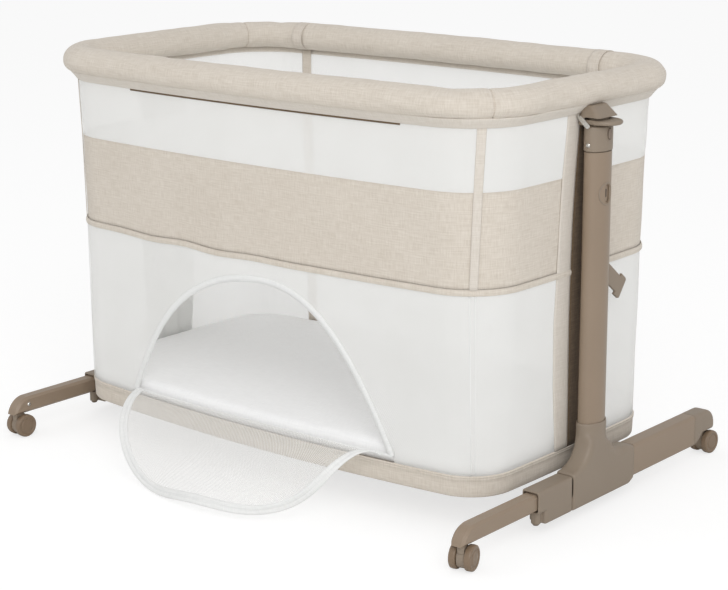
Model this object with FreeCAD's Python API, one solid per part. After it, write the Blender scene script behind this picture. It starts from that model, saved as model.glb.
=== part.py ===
"""Bedside sleeper crib in millimetres: +Z up, X along the crib, -Y the side that faces the bed.

The origin lies on the floor under the middle of the crib.  The crib is drawn at its lowest level.
A padded rail carries cloth walls and a base tray, and hangs between two posts on castored feet.
"""
import FreeCAD
import Part
import math
import os

V = FreeCAD.Vector
X_AXIS, Y_AXIS, Z_AXIS = V(1, 0, 0), V(0, 1, 0), V(0, 0, 1)

# ---------------------------------------------------------------- driving dimensions
# Cloth body: the plan is a rounded rectangle with gently bowed sides.
RAIL_HALF_LENGTH = 447.0     # middle of an end to the middle of the crib, on the rail's centre line
RAIL_HALF_WIDTH = 267.0      # the same for a long side
END_BOW = 6.0                # how far the middle of an end stands out from its corners
BASE_BOTTOM_Z = 59.0
BASE_TOP_Z = 93.0            # piping round the base tray
RAIL_Z = 647.5               # centre line of the rail
HEM_Z = RAIL_Z - 31.0        # lower edge of the rail cover's hem
BAND_TOP_Z = HEM_Z - 94.0    # seam between linen band and upper mesh
WELT_Z = BAND_TOP_Z - 145.5  # seam between lower mesh and linen band
WELT_HEIGHT = 9.5
CLOTH = 1.6                  # mesh wall
LINEN = 2.4                  # linen wall

# Each seam: height, growth beyond the rail's centre line, corner radius, bow of a long side.
SEAMS = [
    (BASE_BOTTOM_Z, -10.0, 76.0, 30.0),
    (BASE_TOP_Z, -8.5, 78.0, 30.0),
    (WELT_Z, -3.0, 95.0, 26.0),
    (BAND_TOP_Z, 0.0, 100.0, 23.5),
    (HEM_Z, 4.5, 106.0, 22.5),
    (RAIL_Z, 4.5, 106.0, 22.5),
]
RAIL_CORNER = 103.0
RAIL_BOW = 22.5

RAIL_PAD_HALF_WIDTH = 28.3
RAIL_PAD_HALF_HEIGHT = 25.8
RAIL_TUBE_RADIUS = 11.0
RAIL_TUBE_WALL = 1.5
STRAP_X, STRAP_HALF_WIDTH = RAIL_HALF_LENGTH - 122.0, 9.5   # webbing loops at the back
TAPE_HALF_WIDTH = 36.0       # zip tape behind a post
STRIP_WIDTH = 24.0           # linen strip on either side of it
RAIL_PAD_SIDES, RAIL_TUBE_SIDES = 16, 8
HEM_THICK = 4.0

MATTRESS_GAP = 9.5           # inside the rail's centre line, at the widest height of the mattress
MATTRESS_CORNER = 71.0

# Arched door in the bed side.
DOOR_SILL_Z = 105.0
DOOR_HALF_WIDTH = 277.0
DOOR_RISE = 243.0
DOOR_POWER = 2.7             # 2 is a parabola, more is squarer
BINDING = 12.0               # width of the white tape on the door's edges
FLAP_GAP = 3.0               # the flap is this much smaller than the opening all round
FLAP_REACH = 40.0            # part of the open flap that sticks straight out
FLAP_DROOP = 102.0           # radius of the quarter turn down to the floor
FLAP_HINGE_Y = 8.1 - RAIL_HALF_WIDTH

# Posts: oval steel tube in tube.  Heights hang from the rail, from the head down to the window.
POST_X = RAIL_HALF_LENGTH + 25.0
OVAL_END = 0.72              # end radius of every oval over its half thickness
OUTER_TUBE = (36.0, 55.0)    # along X and Y
OUTER_TUBE_WALL = 1.8
INNER_TUBE = (31.0, 50.0)
INNER_TUBE_WALL = 1.5
COLLAR = (38.0, 57.0)
HEAD_CORE = (26.0, 40.0)
HEAD_TOP = RAIL_Z - 22.0
HEAD_BOTTOM = HEAD_TOP - 12.9
PADDLE_BOTTOM = HEAD_BOTTOM - 12.6
PADDLE_TOP = PADDLE_BOTTOM + 9.0
PADDLE_TIP_RADIUS = 27.0
PADDLE_TIP_X = POST_X + 10.8
PADDLE_PIN_X = POST_X - 14.5
PADDLE_PIN_Z = PADDLE_BOTTOM + 4.6
PADDLE_PIN_RADIUS = 1.5
COLLAR_TOP = PADDLE_BOTTOM - 0.6
COLLAR_BOTTOM = COLLAR_TOP - 38.6
OUTER_TUBE_TOP = COLLAR_BOTTOM - 0.3
OUTER_TUBE_BOTTOM = 92.0
INNER_TUBE_BOTTOM = 200.0
WINDOW_Z, WINDOW_HEIGHT, WINDOW_WIDTH = OUTER_TUBE_TOP - 63.5, 28.0, 13.0
BUTTON_Z, BUTTON_HEIGHT, BUTTON_WIDTH = COLLAR_TOP - 11.4, 16.5, 8.0
RIVET_Z, RIVET_HEAD, RIVET_SHANK = COLLAR_TOP - 27.9, 3.6, 2.0

# Strap anchor at the back of the post: middle of the plate and its slope down to the rear.
ANCHOR_Y, ANCHOR_Z, ANCHOR_SLOPE = 47.5, 356.0, 38.0

# Feet: the rear leg is fixed, the front leg slides in a sleeve.
LEG_X = POST_X + 5.0
BLOCK_HALF_WIDTH = 17.0
BLOCK_FRONT, BLOCK_REAR = -78.0, 97.0
BLOCK_BOTTOM, BLOCK_TOP = 17.0, 76.0
SOCKET = (40.0, 61.0)
SOCKET_TOP = 142.0
SLEEVE_FRONT, SLEEVE_STEP = -190.0, -148.0
SLEEVE_HALF_WIDTH = 16.0
SLEEVE_TOP, SLEEVE_MOUTH_BOTTOM = 73.0, 37.8
LEG_HALF_WIDTH = 12.0
LEG_BOTTOM, LEG_TOP = 41.0, 68.0
LEG_TAIL, LEG_NOSE = -98.0, -353.0
LEG_TRAVEL = 100.0
REAR_HALF_WIDTH = 14.5
REAR_BOTTOM, REAR_TOP = 24.0, 79.0
REAR_CAP, REAR_NOSE = 286.0, 353.0
FOOT_Z = 41.0                # underside of the leg above the caster
FOOT_LENGTH = 30.0
REAR_FOOT_LENGTH = 38.0      # longer, so the wheels pass under the cap when they swivel
SNAP_Y, SNAP_Z = -322.0, 55.0
LEG_BUTTON_Y = -158.0

# Twin-wheel casters.
CASTER_Y = 337.0
WHEEL_RADIUS = 19.5
WHEEL_WIDTH = 11.0
WHEEL_OFFSET = 12.0          # middle of the caster to the middle of a wheel
HOUSING_HALF_WIDTH = 5.6
AXLE_RADIUS = 2.5
STEM_RADIUS = 4.0
TRAIL = 6.0                  # the axle lies this far behind the stem
CASTER_TURN = {"front_right": 14.0, "rear_right": -4.0, "front_left": -5.0, "rear_left": 6.0}

CLEAR = 0.3                  # between pieces that move past each other


# ---------------------------------------------------------------- helpers
def save(name, shape):
    """Write one sub-part."""
    shape.exportStep("parts/%s.step" % name)


def save_pair(name, right):
    """Write a piece of the right-hand post or foot and its mirror image on the left."""
    save(name + "_right", right)
    save(name + "_left", right.mirror(V(0, 0, 0), X_AXIS))


def fuse_all(shapes):
    """Fuse a list of shapes into one solid and drop the seams between faces that run on."""
    return shapes[0].multiFuse(shapes[1:]).removeSplitter() if len(shapes) > 1 else shapes[0]


def plan_wire(half_length, half_width, corner, bow, z):
    """Closed plan of nine tangent arcs, counter-clockwise from the middle of the +X end."""
    side_radius = (half_length ** 2 + bow ** 2) / (2 * bow)
    end_radius = (half_width ** 2 + END_BOW ** 2) / (2 * END_BOW)
    side = V(0, half_width - side_radius, 0)
    end = V(half_length - end_radius, 0, 0)
    # the corner arc touches both large arcs from inside, so its centre is known from each
    to_side, to_end = side_radius - corner, end_radius - corner
    gap = end - side
    along = (to_side ** 2 - to_end ** 2 + gap.Length ** 2) / (2 * gap.Length)
    across = math.sqrt(to_side ** 2 - along ** 2)
    unit = V(gap).normalize()
    middle = side + unit * along + V(unit.y, -unit.x, 0) * across
    a = math.atan2(middle.y, middle.x - end.x)
    b = math.atan2(middle.y - side.y, middle.x)
    turn = math.pi
    arcs = [
        (end.x, 0, end_radius, 0, a),
        (middle.x, middle.y, corner, a, b),
        (0, side.y, side_radius, b, turn - b),
        (-middle.x, middle.y, corner, turn - b, turn - a),
        (-end.x, 0, end_radius, turn - a, turn + a),
        (-middle.x, -middle.y, corner, turn + a, turn + b),
        (0, -side.y, side_radius, turn + b, 2 * turn - b),
        (middle.x, -middle.y, corner, 2 * turn - b, 2 * turn - a),
        (end.x, 0, end_radius, 2 * turn - a, 2 * turn),
    ]
    return Part.Wire([Part.ArcOfCircle(Part.Circle(V(x, y, z), Z_AXIS, r), start, stop).toShape()
                      for x, y, r, start, stop in arcs])


def body_plan(z, grow=0.0):
    """Plan of the cloth body at a height, grown outward."""
    for low, high in zip(SEAMS, SEAMS[1:]):
        if z <= high[0] or high is SEAMS[-1]:
            break
    t = (z - low[0]) / (high[0] - low[0])
    out, corner, bow = [low[i] + (high[i] - low[i]) * t for i in (1, 2, 3)]
    out += grow
    return plan_wire(RAIL_HALF_LENGTH + out, RAIL_HALF_WIDTH + out, corner + grow, bow, z)


def block_between(z0, z1, grow):
    """Solid body between two heights, grown outward; a tall one gets plans between, about 100 mm apart."""
    steps = max(1, round((z1 - z0) / 100))
    return Part.makeLoft([body_plan(z0 + (z1 - z0) * i / steps, grow) for i in range(steps + 1)], True, True)


def wall(z0, z1, face, thick):
    """Ring of cloth between two heights whose outer face lies `face` beyond the plan."""
    return block_between(z0, z1, face).cut(block_between(z0, z1, face - thick))


def strip(slab, z0, z1, face, thick):
    """Solids along the wall inside a slab, one between each two seams; outside, the welt stays bare."""
    levels = [z0] + [s[0] for s in SEAMS if z0 < s[0] < z1] + [z1]
    solids = []
    for low, high in zip(levels, levels[1:]):
        top = high - WELT_HEIGHT if high == WELT_Z and face > 0 else high
        solids.extend(wall(low, top, face, thick).common(slab).Solids)
    return solids


def box(x0, x1, y0, y1, z0, z1):
    """Box between two corners."""
    return Part.makeBox(x1 - x0, y1 - y0, z1 - z0, V(x0, y0, z0))


def oval(size, z, grow=0.0):
    """Oval wire of the posts at a height, four tangent arcs: size along X and Y, grown all round."""
    half_x, half_y = size[0] / 2, size[1] / 2
    end = OVAL_END * half_x
    along = half_y - end
    flat = (along ** 2 + half_x ** 2 - end ** 2) / (2 * (half_x - end))
    a = math.atan2(along, flat - half_x)
    turn = math.pi
    arcs = [
        (half_x - flat, 0, flat, -a, a),
        (0, along, end, a, turn - a),
        (flat - half_x, 0, flat, turn - a, turn + a),
        (0, -along, end, turn + a, 2 * turn - a),
    ]
    return Part.Wire([Part.ArcOfCircle(Part.Circle(V(POST_X + x, y, z), Z_AXIS, r + grow), p, q).toShape()
                      for x, y, r, p, q in arcs])


def oval_block(size, z0, z1, grow=0.0):
    """Upright oval solid on the post's axis."""
    return Part.Face(oval(size, z0, grow)).extrude(V(0, 0, z1 - z0))


def oval_tube(size, thick, z0, z1):
    """Upright oval tube on the post's axis."""
    return oval_block(size, z0, z1).cut(oval_block(size, z0, z1, -thick))


def pill(width, height, z, x0, x1, grow=0.0):
    """Upright pill shape, round at top and bottom, running along X."""
    radius = width / 2 + grow
    reach = height / 2 - width / 2
    sides = [Part.LineSegment(V(x0, -radius, z - reach), V(x0, -radius, z + reach)),
             Part.Arc(V(x0, -radius, z + reach), V(x0, 0, z + reach + radius), V(x0, radius, z + reach)),
             Part.LineSegment(V(x0, radius, z + reach), V(x0, radius, z - reach)),
             Part.Arc(V(x0, radius, z - reach), V(x0, 0, z - reach - radius), V(x0, -radius, z - reach))]
    return Part.Face(Part.Wire([s.toShape() for s in sides])).extrude(V(x1 - x0, 0, 0))


def profile(x0, x1, *runs):
    """Solid of a side outline along X.

    Each run is (y, z), reached by a straight line, or (y_mid, z_mid, y, z), reached by an arc.
    """
    edges, here = [], V(x0, *runs[0])
    start = here
    for run in runs[1:] + (runs[0],):
        stop = V(x0, run[-2], run[-1])
        if (stop - here).Length < 1e-6:
            continue
        if len(run) == 4:
            edges.append(Part.Arc(here, V(x0, run[0], run[1]), stop).toShape())
        else:
            edges.append(Part.LineSegment(here, stop).toShape())
        here = stop
    assert (here - start).Length < 1e-6
    return Part.Face(Part.Wire(edges)).extrude(V(x1 - x0, 0, 0))


def soften(shape, radius, pick):
    """Round the edges that `pick` chooses."""
    return shape.makeFillet(radius, [e for e in shape.Edges if pick(e)])


def bevel(shape, size, pick):
    """Break the edges that `pick` chooses with a flat."""
    return shape.makeChamfer(size, [e for e in shape.Edges if pick(e)])


def flank_edge(x0, x1):
    """Choose the edges that lie flat in either side face of a profile solid."""
    def pick(edge):
        low, high = edge.BoundBox.XMin, edge.BoundBox.XMax
        return high - low < 1e-3 and (abs(low - x0) < 1e-3 or abs(low - x1) < 1e-3)
    return pick


def rail_sweep(half_width, half_height, sides):
    """Sweep an oval section with flats once round the rail's centre line."""
    points = []
    for i in range(sides):
        a = 2 * math.pi * (i + 0.5) / sides
        points.append(V(RAIL_HALF_LENGTH + half_width * math.cos(a), 0, RAIL_Z + half_height * math.sin(a)))
    path = plan_wire(RAIL_HALF_LENGTH, RAIL_HALF_WIDTH, RAIL_CORNER, RAIL_BOW, RAIL_Z)
    return path.makePipeShell([Part.makePolygon(points + points[:1])], True, False)


def rail_pad(grow=0.0):
    """Padded rail as one solid ring, grown all round."""
    return rail_sweep(RAIL_PAD_HALF_WIDTH + grow, RAIL_PAD_HALF_HEIGHT + grow, RAIL_PAD_SIDES)


def rail_round(radius):
    """Bar along the rail's centre line."""
    return rail_sweep(radius, radius, RAIL_TUBE_SIDES)


def door_height(x, half_width, rise):
    """Height of the arch above its sill at a distance x from the middle."""
    return rise * (1 - abs(x / half_width) ** DOOR_POWER)


def door_outline(half_width, rise, place):
    """Face inside the arch; place(x, height) puts each of its points in space."""
    steps = [math.sin(math.radians(15 * i - 90)) for i in range(13)]
    points = [place(half_width * s, door_height(half_width * s, half_width, rise)) for s in steps]
    edges = [Part.Arc(*points[i:i + 3]).toShape() for i in range(0, 12, 2)]
    return Part.Face(Part.Wire(edges + [Part.LineSegment(points[-1], points[0]).toShape()]))


# ---------------------------------------------------------------- rail
def make_rail():
    """Steel tube ring, its padded linen cover with a sewn hem, and two webbing loops at the back."""
    tube = rail_round(RAIL_TUBE_RADIUS).cut(rail_round(RAIL_TUBE_RADIUS - RAIL_TUBE_WALL))
    save("rail_tube", tube)

    hem = wall(HEM_Z, HEM_Z + 11.0, 1.0, HEM_THICK)
    cover = rail_pad().fuse(hem).cut(rail_round(RAIL_TUBE_RADIUS + 0.1))
    slot = head_tongue(CLEAR)
    cover = cover.cut(slot).cut(slot.mirror(V(0, 0, 0), X_AXIS))
    save("rail_cover", max(cover.Solids, key=lambda s: s.Volume))

    loops = rail_pad(1.5).cut(rail_pad(0.2)).cut(wall(HEM_Z, HEM_Z + 11.0, 1.4, HEM_THICK + 0.8))
    straps = []
    for x in (-STRAP_X, STRAP_X):
        slab = box(x - STRAP_HALF_WIDTH, x + STRAP_HALF_WIDTH, RAIL_HALF_WIDTH - 90, RAIL_HALF_WIDTH + 50,
                   BASE_TOP_Z, RAIL_Z + 40)
        straps.extend(loops.common(slab).Solids)
        straps.extend(strip(slab, BASE_TOP_Z, HEM_Z, -LINEN - 0.2, 0.9))
    save("rail_straps", Part.makeCompound(straps))


# ---------------------------------------------------------------- cloth walls
def make_walls():
    """Upper mesh, linen band, its welt and the lower mesh with the arched door."""
    save("upper_mesh", wall(BAND_TOP_Z, HEM_Z, 0.0, CLOTH))
    save("linen_band", wall(WELT_Z, BAND_TOP_Z, 0.0, LINEN))
    save("band_welt", wall(WELT_Z - WELT_HEIGHT, WELT_Z, 2.6, 2.6))

    front = -RAIL_HALF_WIDTH - 50
    through = V(0, 120, 0)

    def on_wall(x, height):
        return V(x, front, DOOR_SILL_Z + height)

    opening = door_outline(DOOR_HALF_WIDTH, DOOR_RISE, on_wall).extrude(through)
    clear = door_outline(DOOR_HALF_WIDTH - BINDING, DOOR_RISE - BINDING, on_wall).extrude(through)
    save("lower_mesh", wall(BASE_TOP_Z, WELT_Z, 0.0, CLOTH).cut(opening))
    binding = wall(BASE_TOP_Z, WELT_Z, 0.7, CLOTH + 1.4).common(opening.cut(clear))
    save("door_binding", Part.makeCompound(binding.Solids))


def make_flap():
    """Unzipped door, hinged on the sill: it sticks out over the base and droops to the floor."""
    sill = V(0, FLAP_HINGE_Y, DOOR_SILL_Z + 1.1)
    half_width = DOOR_HALF_WIDTH - BINDING - FLAP_GAP
    length = FLAP_REACH + FLAP_DROOP * math.pi / 2
    down_out = V(0, -1, -1).normalize()
    across = V(0, -1, 1).normalize()

    def on_flap(s):
        if s < FLAP_REACH:
            return V(0, -s, 0)
        a = (s - FLAP_REACH) / FLAP_DROOP
        return V(0, -FLAP_REACH - FLAP_DROOP * math.sin(a), FLAP_DROOP * (math.cos(a) - 1))

    def shell(thick):
        r, t = FLAP_DROOP, thick / 2
        y, z = sill.y - FLAP_REACH, sill.z
        c = math.sqrt(0.5)
        return profile(-DOOR_HALF_WIDTH, DOOR_HALF_WIDTH, (sill.y, z - t), (sill.y, z + t), (y, z + t),
                       (y - (r + t) * c, z - r + (r + t) * c, y - r - t, z - r), (y - r + t, z - r),
                       (y - (r - t) * c, z - r + (r - t) * c, y, z - t))

    def outline(trim):
        def place(x, height):
            at = on_flap(height)
            return sill + V(x, 0, 0) + down_out * at.dot(down_out) - across * 200
        return door_outline(half_width - trim, length - trim, place).extrude(across * 400)

    whole, inner = outline(0.0), outline(BINDING)
    save("flap_mesh", shell(CLOTH).common(inner))
    save("flap_binding", Part.makeCompound(shell(CLOTH + 1.4).common(whole.cut(inner)).Solids))


def make_strips():
    """Linen strips beside the posts and on the bed-side corners, and the dark zip tape between them."""
    beside, tape = [], []
    for x in (-RAIL_HALF_LENGTH, RAIL_HALF_LENGTH):
        for y in (-1, 1):
            low, high = sorted((y * TAPE_HALF_WIDTH, y * (TAPE_HALF_WIDTH + STRIP_WIDTH)))
            slab = box(x - 60, x + 60, low, high, BASE_TOP_Z, HEM_Z)
            beside.extend(strip(slab, BASE_TOP_Z, HEM_Z, 1.2, 1.2))
        slab = box(x - 60, x + 60, -TAPE_HALF_WIDTH, TAPE_HALF_WIDTH, BASE_TOP_Z, HEM_Z)
        tape.extend(strip(slab, BASE_TOP_Z, HEM_Z, 0.7, 0.7))
    for side in (-1, 1):
        slab = box(0, 200, -6.5, 6.5, WELT_Z, HEM_Z)
        slab.rotate(V(0, 0, 0), Z_AXIS, -45)
        slab.translate(V(RAIL_HALF_LENGTH - RAIL_CORNER, RAIL_CORNER - RAIL_HALF_WIDTH, 0))
        if side < 0:
            slab = slab.mirror(V(0, 0, 0), X_AXIS)
        beside.extend(strip(slab, WELT_Z, HEM_Z, 1.2, 1.2))
    save("linen_strips", Part.makeCompound(beside))
    save("zip_tapes", Part.makeCompound(tape))

    pulls = []
    for side in (-1, 1):
        x = side * (RAIL_HALF_LENGTH + 7.2)
        slider = box(x - 2, x + 2, -TAPE_HALF_WIDTH, -TAPE_HALF_WIDTH + 6, HEM_Z - 13, HEM_Z - 4)
        blade = box(x - 0.4, x + 1.2, -TAPE_HALF_WIDTH + 1, -TAPE_HALF_WIDTH + 5, HEM_Z - 30, HEM_Z - 9)
        pulls.append(slider.fuse(blade))
    save("zip_pulls", Part.makeCompound(pulls))


# ---------------------------------------------------------------- base and mattress
def make_base():
    """Linen tray round a steel frame, a board on the frame and the mattress on the board."""
    tray = wall(BASE_BOTTOM_Z, BASE_TOP_Z, 0.0, 2.0)
    floor = block_between(BASE_BOTTOM_Z, BASE_BOTTOM_Z + 1.5, -1.0)
    piping = wall(BASE_TOP_Z - 5.0, BASE_TOP_Z, 1.4, 3.0)
    save("base_cover", fuse_all([tray, floor, piping]))

    low, high, tube = BASE_BOTTOM_Z + 1.5, BASE_BOTTOM_Z + 24.5, 15.0
    ring = wall(low, high, -2.2, tube).cut(wall(low + 1.5, high - 1.5, -3.7, tube - 3.0))
    reach = RAIL_HALF_WIDTH
    bars = [box(x - 10, x + 10, -reach, reach, low + 2, high - 2).cut(
        box(x - 8.5, x + 8.5, -reach, reach, low + 3.5, high - 3.5))
        for x in (-RAIL_HALF_LENGTH / 3, RAIL_HALF_LENGTH / 3)]
    inside = block_between(low, high, -1.2 - tube)
    save("base_frame", fuse_all([ring] + [bar.common(inside) for bar in bars]))

    board_top = high + 4.0
    save("base_board", block_between(high, board_top, -3.0))

    sections = [(0.0, 9.0), (5.0, 5.0), (18.0, 4.4), (26.0, 8.0), (30.5, 18.0), (33.0, 55.0), (34.0, 120.0)]
    wires = []
    for rise, inset in sections:
        corner = max(MATTRESS_CORNER - inset / 2, 20.0)
        wires.append(plan_wire(RAIL_HALF_LENGTH - MATTRESS_GAP - inset, RAIL_HALF_WIDTH - MATTRESS_GAP - inset,
                               corner, SEAMS[0][3], board_top + rise))
    save("mattress", Part.makeLoft(wires, True, True))


# ---------------------------------------------------------------- posts
def head_tongue(grow):
    """Tongue of the post head that reaches through the hem to the rail tube."""
    return box(RAIL_HALF_LENGTH - 9 - grow, POST_X - 4, -16 - grow, 16 + grow, HEM_Z + 1.5 - grow, RAIL_Z - 7.0)


def make_post():
    """Outer tube with its level window, inner tube, collar, rivets, button, head and paddle."""
    outer = oval_tube(OUTER_TUBE, OUTER_TUBE_WALL, OUTER_TUBE_BOTTOM, OUTER_TUBE_TOP)
    window = pill(WINDOW_WIDTH, WINDOW_HEIGHT, WINDOW_Z, POST_X + 8, POST_X + 30)
    save_pair("outer_tube", outer.cut(window))

    button_hole = pill(BUTTON_WIDTH, BUTTON_HEIGHT, BUTTON_Z, POST_X + 9, POST_X + 30, CLEAR)
    shanks = Part.makeCylinder(RIVET_SHANK, 80, V(POST_X, -40, RIVET_Z), Y_AXIS)
    inner = oval_tube(INNER_TUBE, INNER_TUBE_WALL, INNER_TUBE_BOTTOM, COLLAR_TOP)
    save_pair("inner_tube", inner.cut(button_hole).cut(shanks))

    collar = oval_block(COLLAR, COLLAR_BOTTOM, COLLAR_TOP)
    collar = bevel(collar, 1.5, lambda e: e.BoundBox.ZMin > COLLAR_TOP - 1)
    passage = oval_block(INNER_TUBE, COLLAR_BOTTOM - 1, COLLAR_TOP + 1, 0.05)
    save_pair("collar", collar.cut(passage).cut(button_hole).cut(shanks))

    rivets = []
    for side in (-1, 1):
        face = side * COLLAR[1] / 2
        shank = Part.makeCylinder(RIVET_SHANK, 6, V(POST_X, face - side * 6, RIVET_Z), Y_AXIS * side)
        head = Part.makeCone(RIVET_HEAD, RIVET_HEAD - 1.4, 1.4, V(POST_X, face, RIVET_Z), Y_AXIS * side)
        rivets.append(shank.fuse(head))
    save_pair("collar_rivets", Part.makeCompound(rivets))

    button = pill(BUTTON_WIDTH, BUTTON_HEIGHT, BUTTON_Z, POST_X + 14.5, POST_X + 21.5)
    save_pair("collar_button", bevel(button, 1.0, lambda e: e.BoundBox.XMin > POST_X + 21))

    save_pair("post_head", make_head(button_hole))
    save_pair("height_paddle", make_paddle())


def make_head(button_hole):
    """Moulded head: plug in the inner tube, core, block under the rail, ears and pin for the paddle."""
    plug = oval_block(INNER_TUBE, RIVET_Z + 6, COLLAR_TOP, -INNER_TUBE_WALL - 0.05).cut(button_hole)
    core = oval_block(HEAD_CORE, COLLAR_TOP, HEAD_BOTTOM)
    half_x, half_y = COLLAR[0] / 2, COLLAR[1] / 2
    block = box(POST_X - half_x, POST_X + half_x, -half_y, half_y, HEAD_BOTTOM, HEAD_TOP)
    block = soften(block, 9.0, lambda e: e.BoundBox.ZLength > 5)
    block = bevel(block, 1.5, lambda e: e.BoundBox.ZMin > HEAD_TOP - 1 and e.BoundBox.XMax > POST_X)
    block = block.cut(rail_pad(CLEAR))
    block = max(block.Solids, key=lambda s: s.Volume)
    tongue = head_tongue(0.0).cut(rail_round(RAIL_TUBE_RADIUS + 0.02))
    tongue = max(tongue.Solids, key=lambda s: s.Volume)
    ears = [box(POST_X - 18.5, POST_X - 8, y, y + 3, PADDLE_BOTTOM + 0.3, HEAD_BOTTOM + 1)
            for y in (-half_y, half_y - 3)]
    pin = Part.makeCylinder(PADDLE_PIN_RADIUS, 56, V(PADDLE_PIN_X, -28, PADDLE_PIN_Z), Y_AXIS)
    return fuse_all([core, plug, block, tongue, pin] + ears)


def make_paddle():
    """D-shaped lever under the rail with two arms that reach round the core to the pin."""
    arm = HEAD_CORE[1] / 2 + 5.2
    tip = PADDLE_TIP_RADIUS
    x0, z = PADDLE_PIN_X, PADDLE_BOTTOM
    edges = [Part.LineSegment(V(x0, -arm, z), V(PADDLE_TIP_X - 8, -arm, z)),
             Part.LineSegment(V(PADDLE_TIP_X - 8, -arm, z), V(PADDLE_TIP_X, -tip, z)),
             Part.Arc(V(PADDLE_TIP_X, -tip, z), V(PADDLE_TIP_X + tip, 0, z), V(PADDLE_TIP_X, tip, z)),
             Part.LineSegment(V(PADDLE_TIP_X, tip, z), V(PADDLE_TIP_X - 8, arm, z)),
             Part.LineSegment(V(PADDLE_TIP_X - 8, arm, z), V(x0, arm, z)),
             Part.LineSegment(V(x0, arm, z), V(x0, -arm, z))]
    plate = Part.Face(Part.Wire([e.toShape() for e in edges])).extrude(V(0, 0, PADDLE_TOP - z))
    plate = bevel(plate, 2.5, lambda e: e.BoundBox.ZLength < 1e-3 and e.BoundBox.XMax > PADDLE_TIP_X + 20)
    knuckles = Part.makeCylinder(4.0, 2 * arm, V(x0, -arm, PADDLE_PIN_Z), Y_AXIS)
    lever = plate.fuse(knuckles)
    room = HEAD_CORE[1] / 2 + 1.3
    lever = lever.cut(oval_block(HEAD_CORE, z - 1, PADDLE_TOP + 1, 1.3))
    lever = lever.cut(box(x0 - 20, POST_X, -room, room, z - 1, PADDLE_TOP + 1))
    bore = Part.makeCylinder(PADDLE_PIN_RADIUS + 0.05, 80, V(x0, -40, PADDLE_PIN_Z), Y_AXIS)
    return lever.cut(bore)


def make_anchor():
    """T-shaped hook plate at the back of the post for the strap that ties the crib to the bed."""
    neck, head = 10.0, 18.0
    outline = [(-34, -neck), (24, -neck), (20, -head), (38, -head), (38, head), (20, head), (24, neck), (-34, neck)]
    points = [V(POST_X - 3, y, z) for y, z in outline]
    plate = Part.Face(Part.makePolygon(points + points[:1])).extrude(V(5, 0, 0))
    plate = soften(plate, 4.0, lambda e: e.BoundBox.XLength > 4 and e.BoundBox.YMin > 37)
    plate.rotate(V(POST_X, 0, 0), X_AXIS, -ANCHOR_SLOPE)
    plate.translate(V(0, ANCHOR_Y, ANCHOR_Z))
    plate = plate.cut(oval_block(OUTER_TUBE, ANCHOR_Z - 60, ANCHOR_Z + 60))
    save_pair("strap_anchor", max(plate.Solids, key=lambda s: s.BoundBox.YMax))


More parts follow.
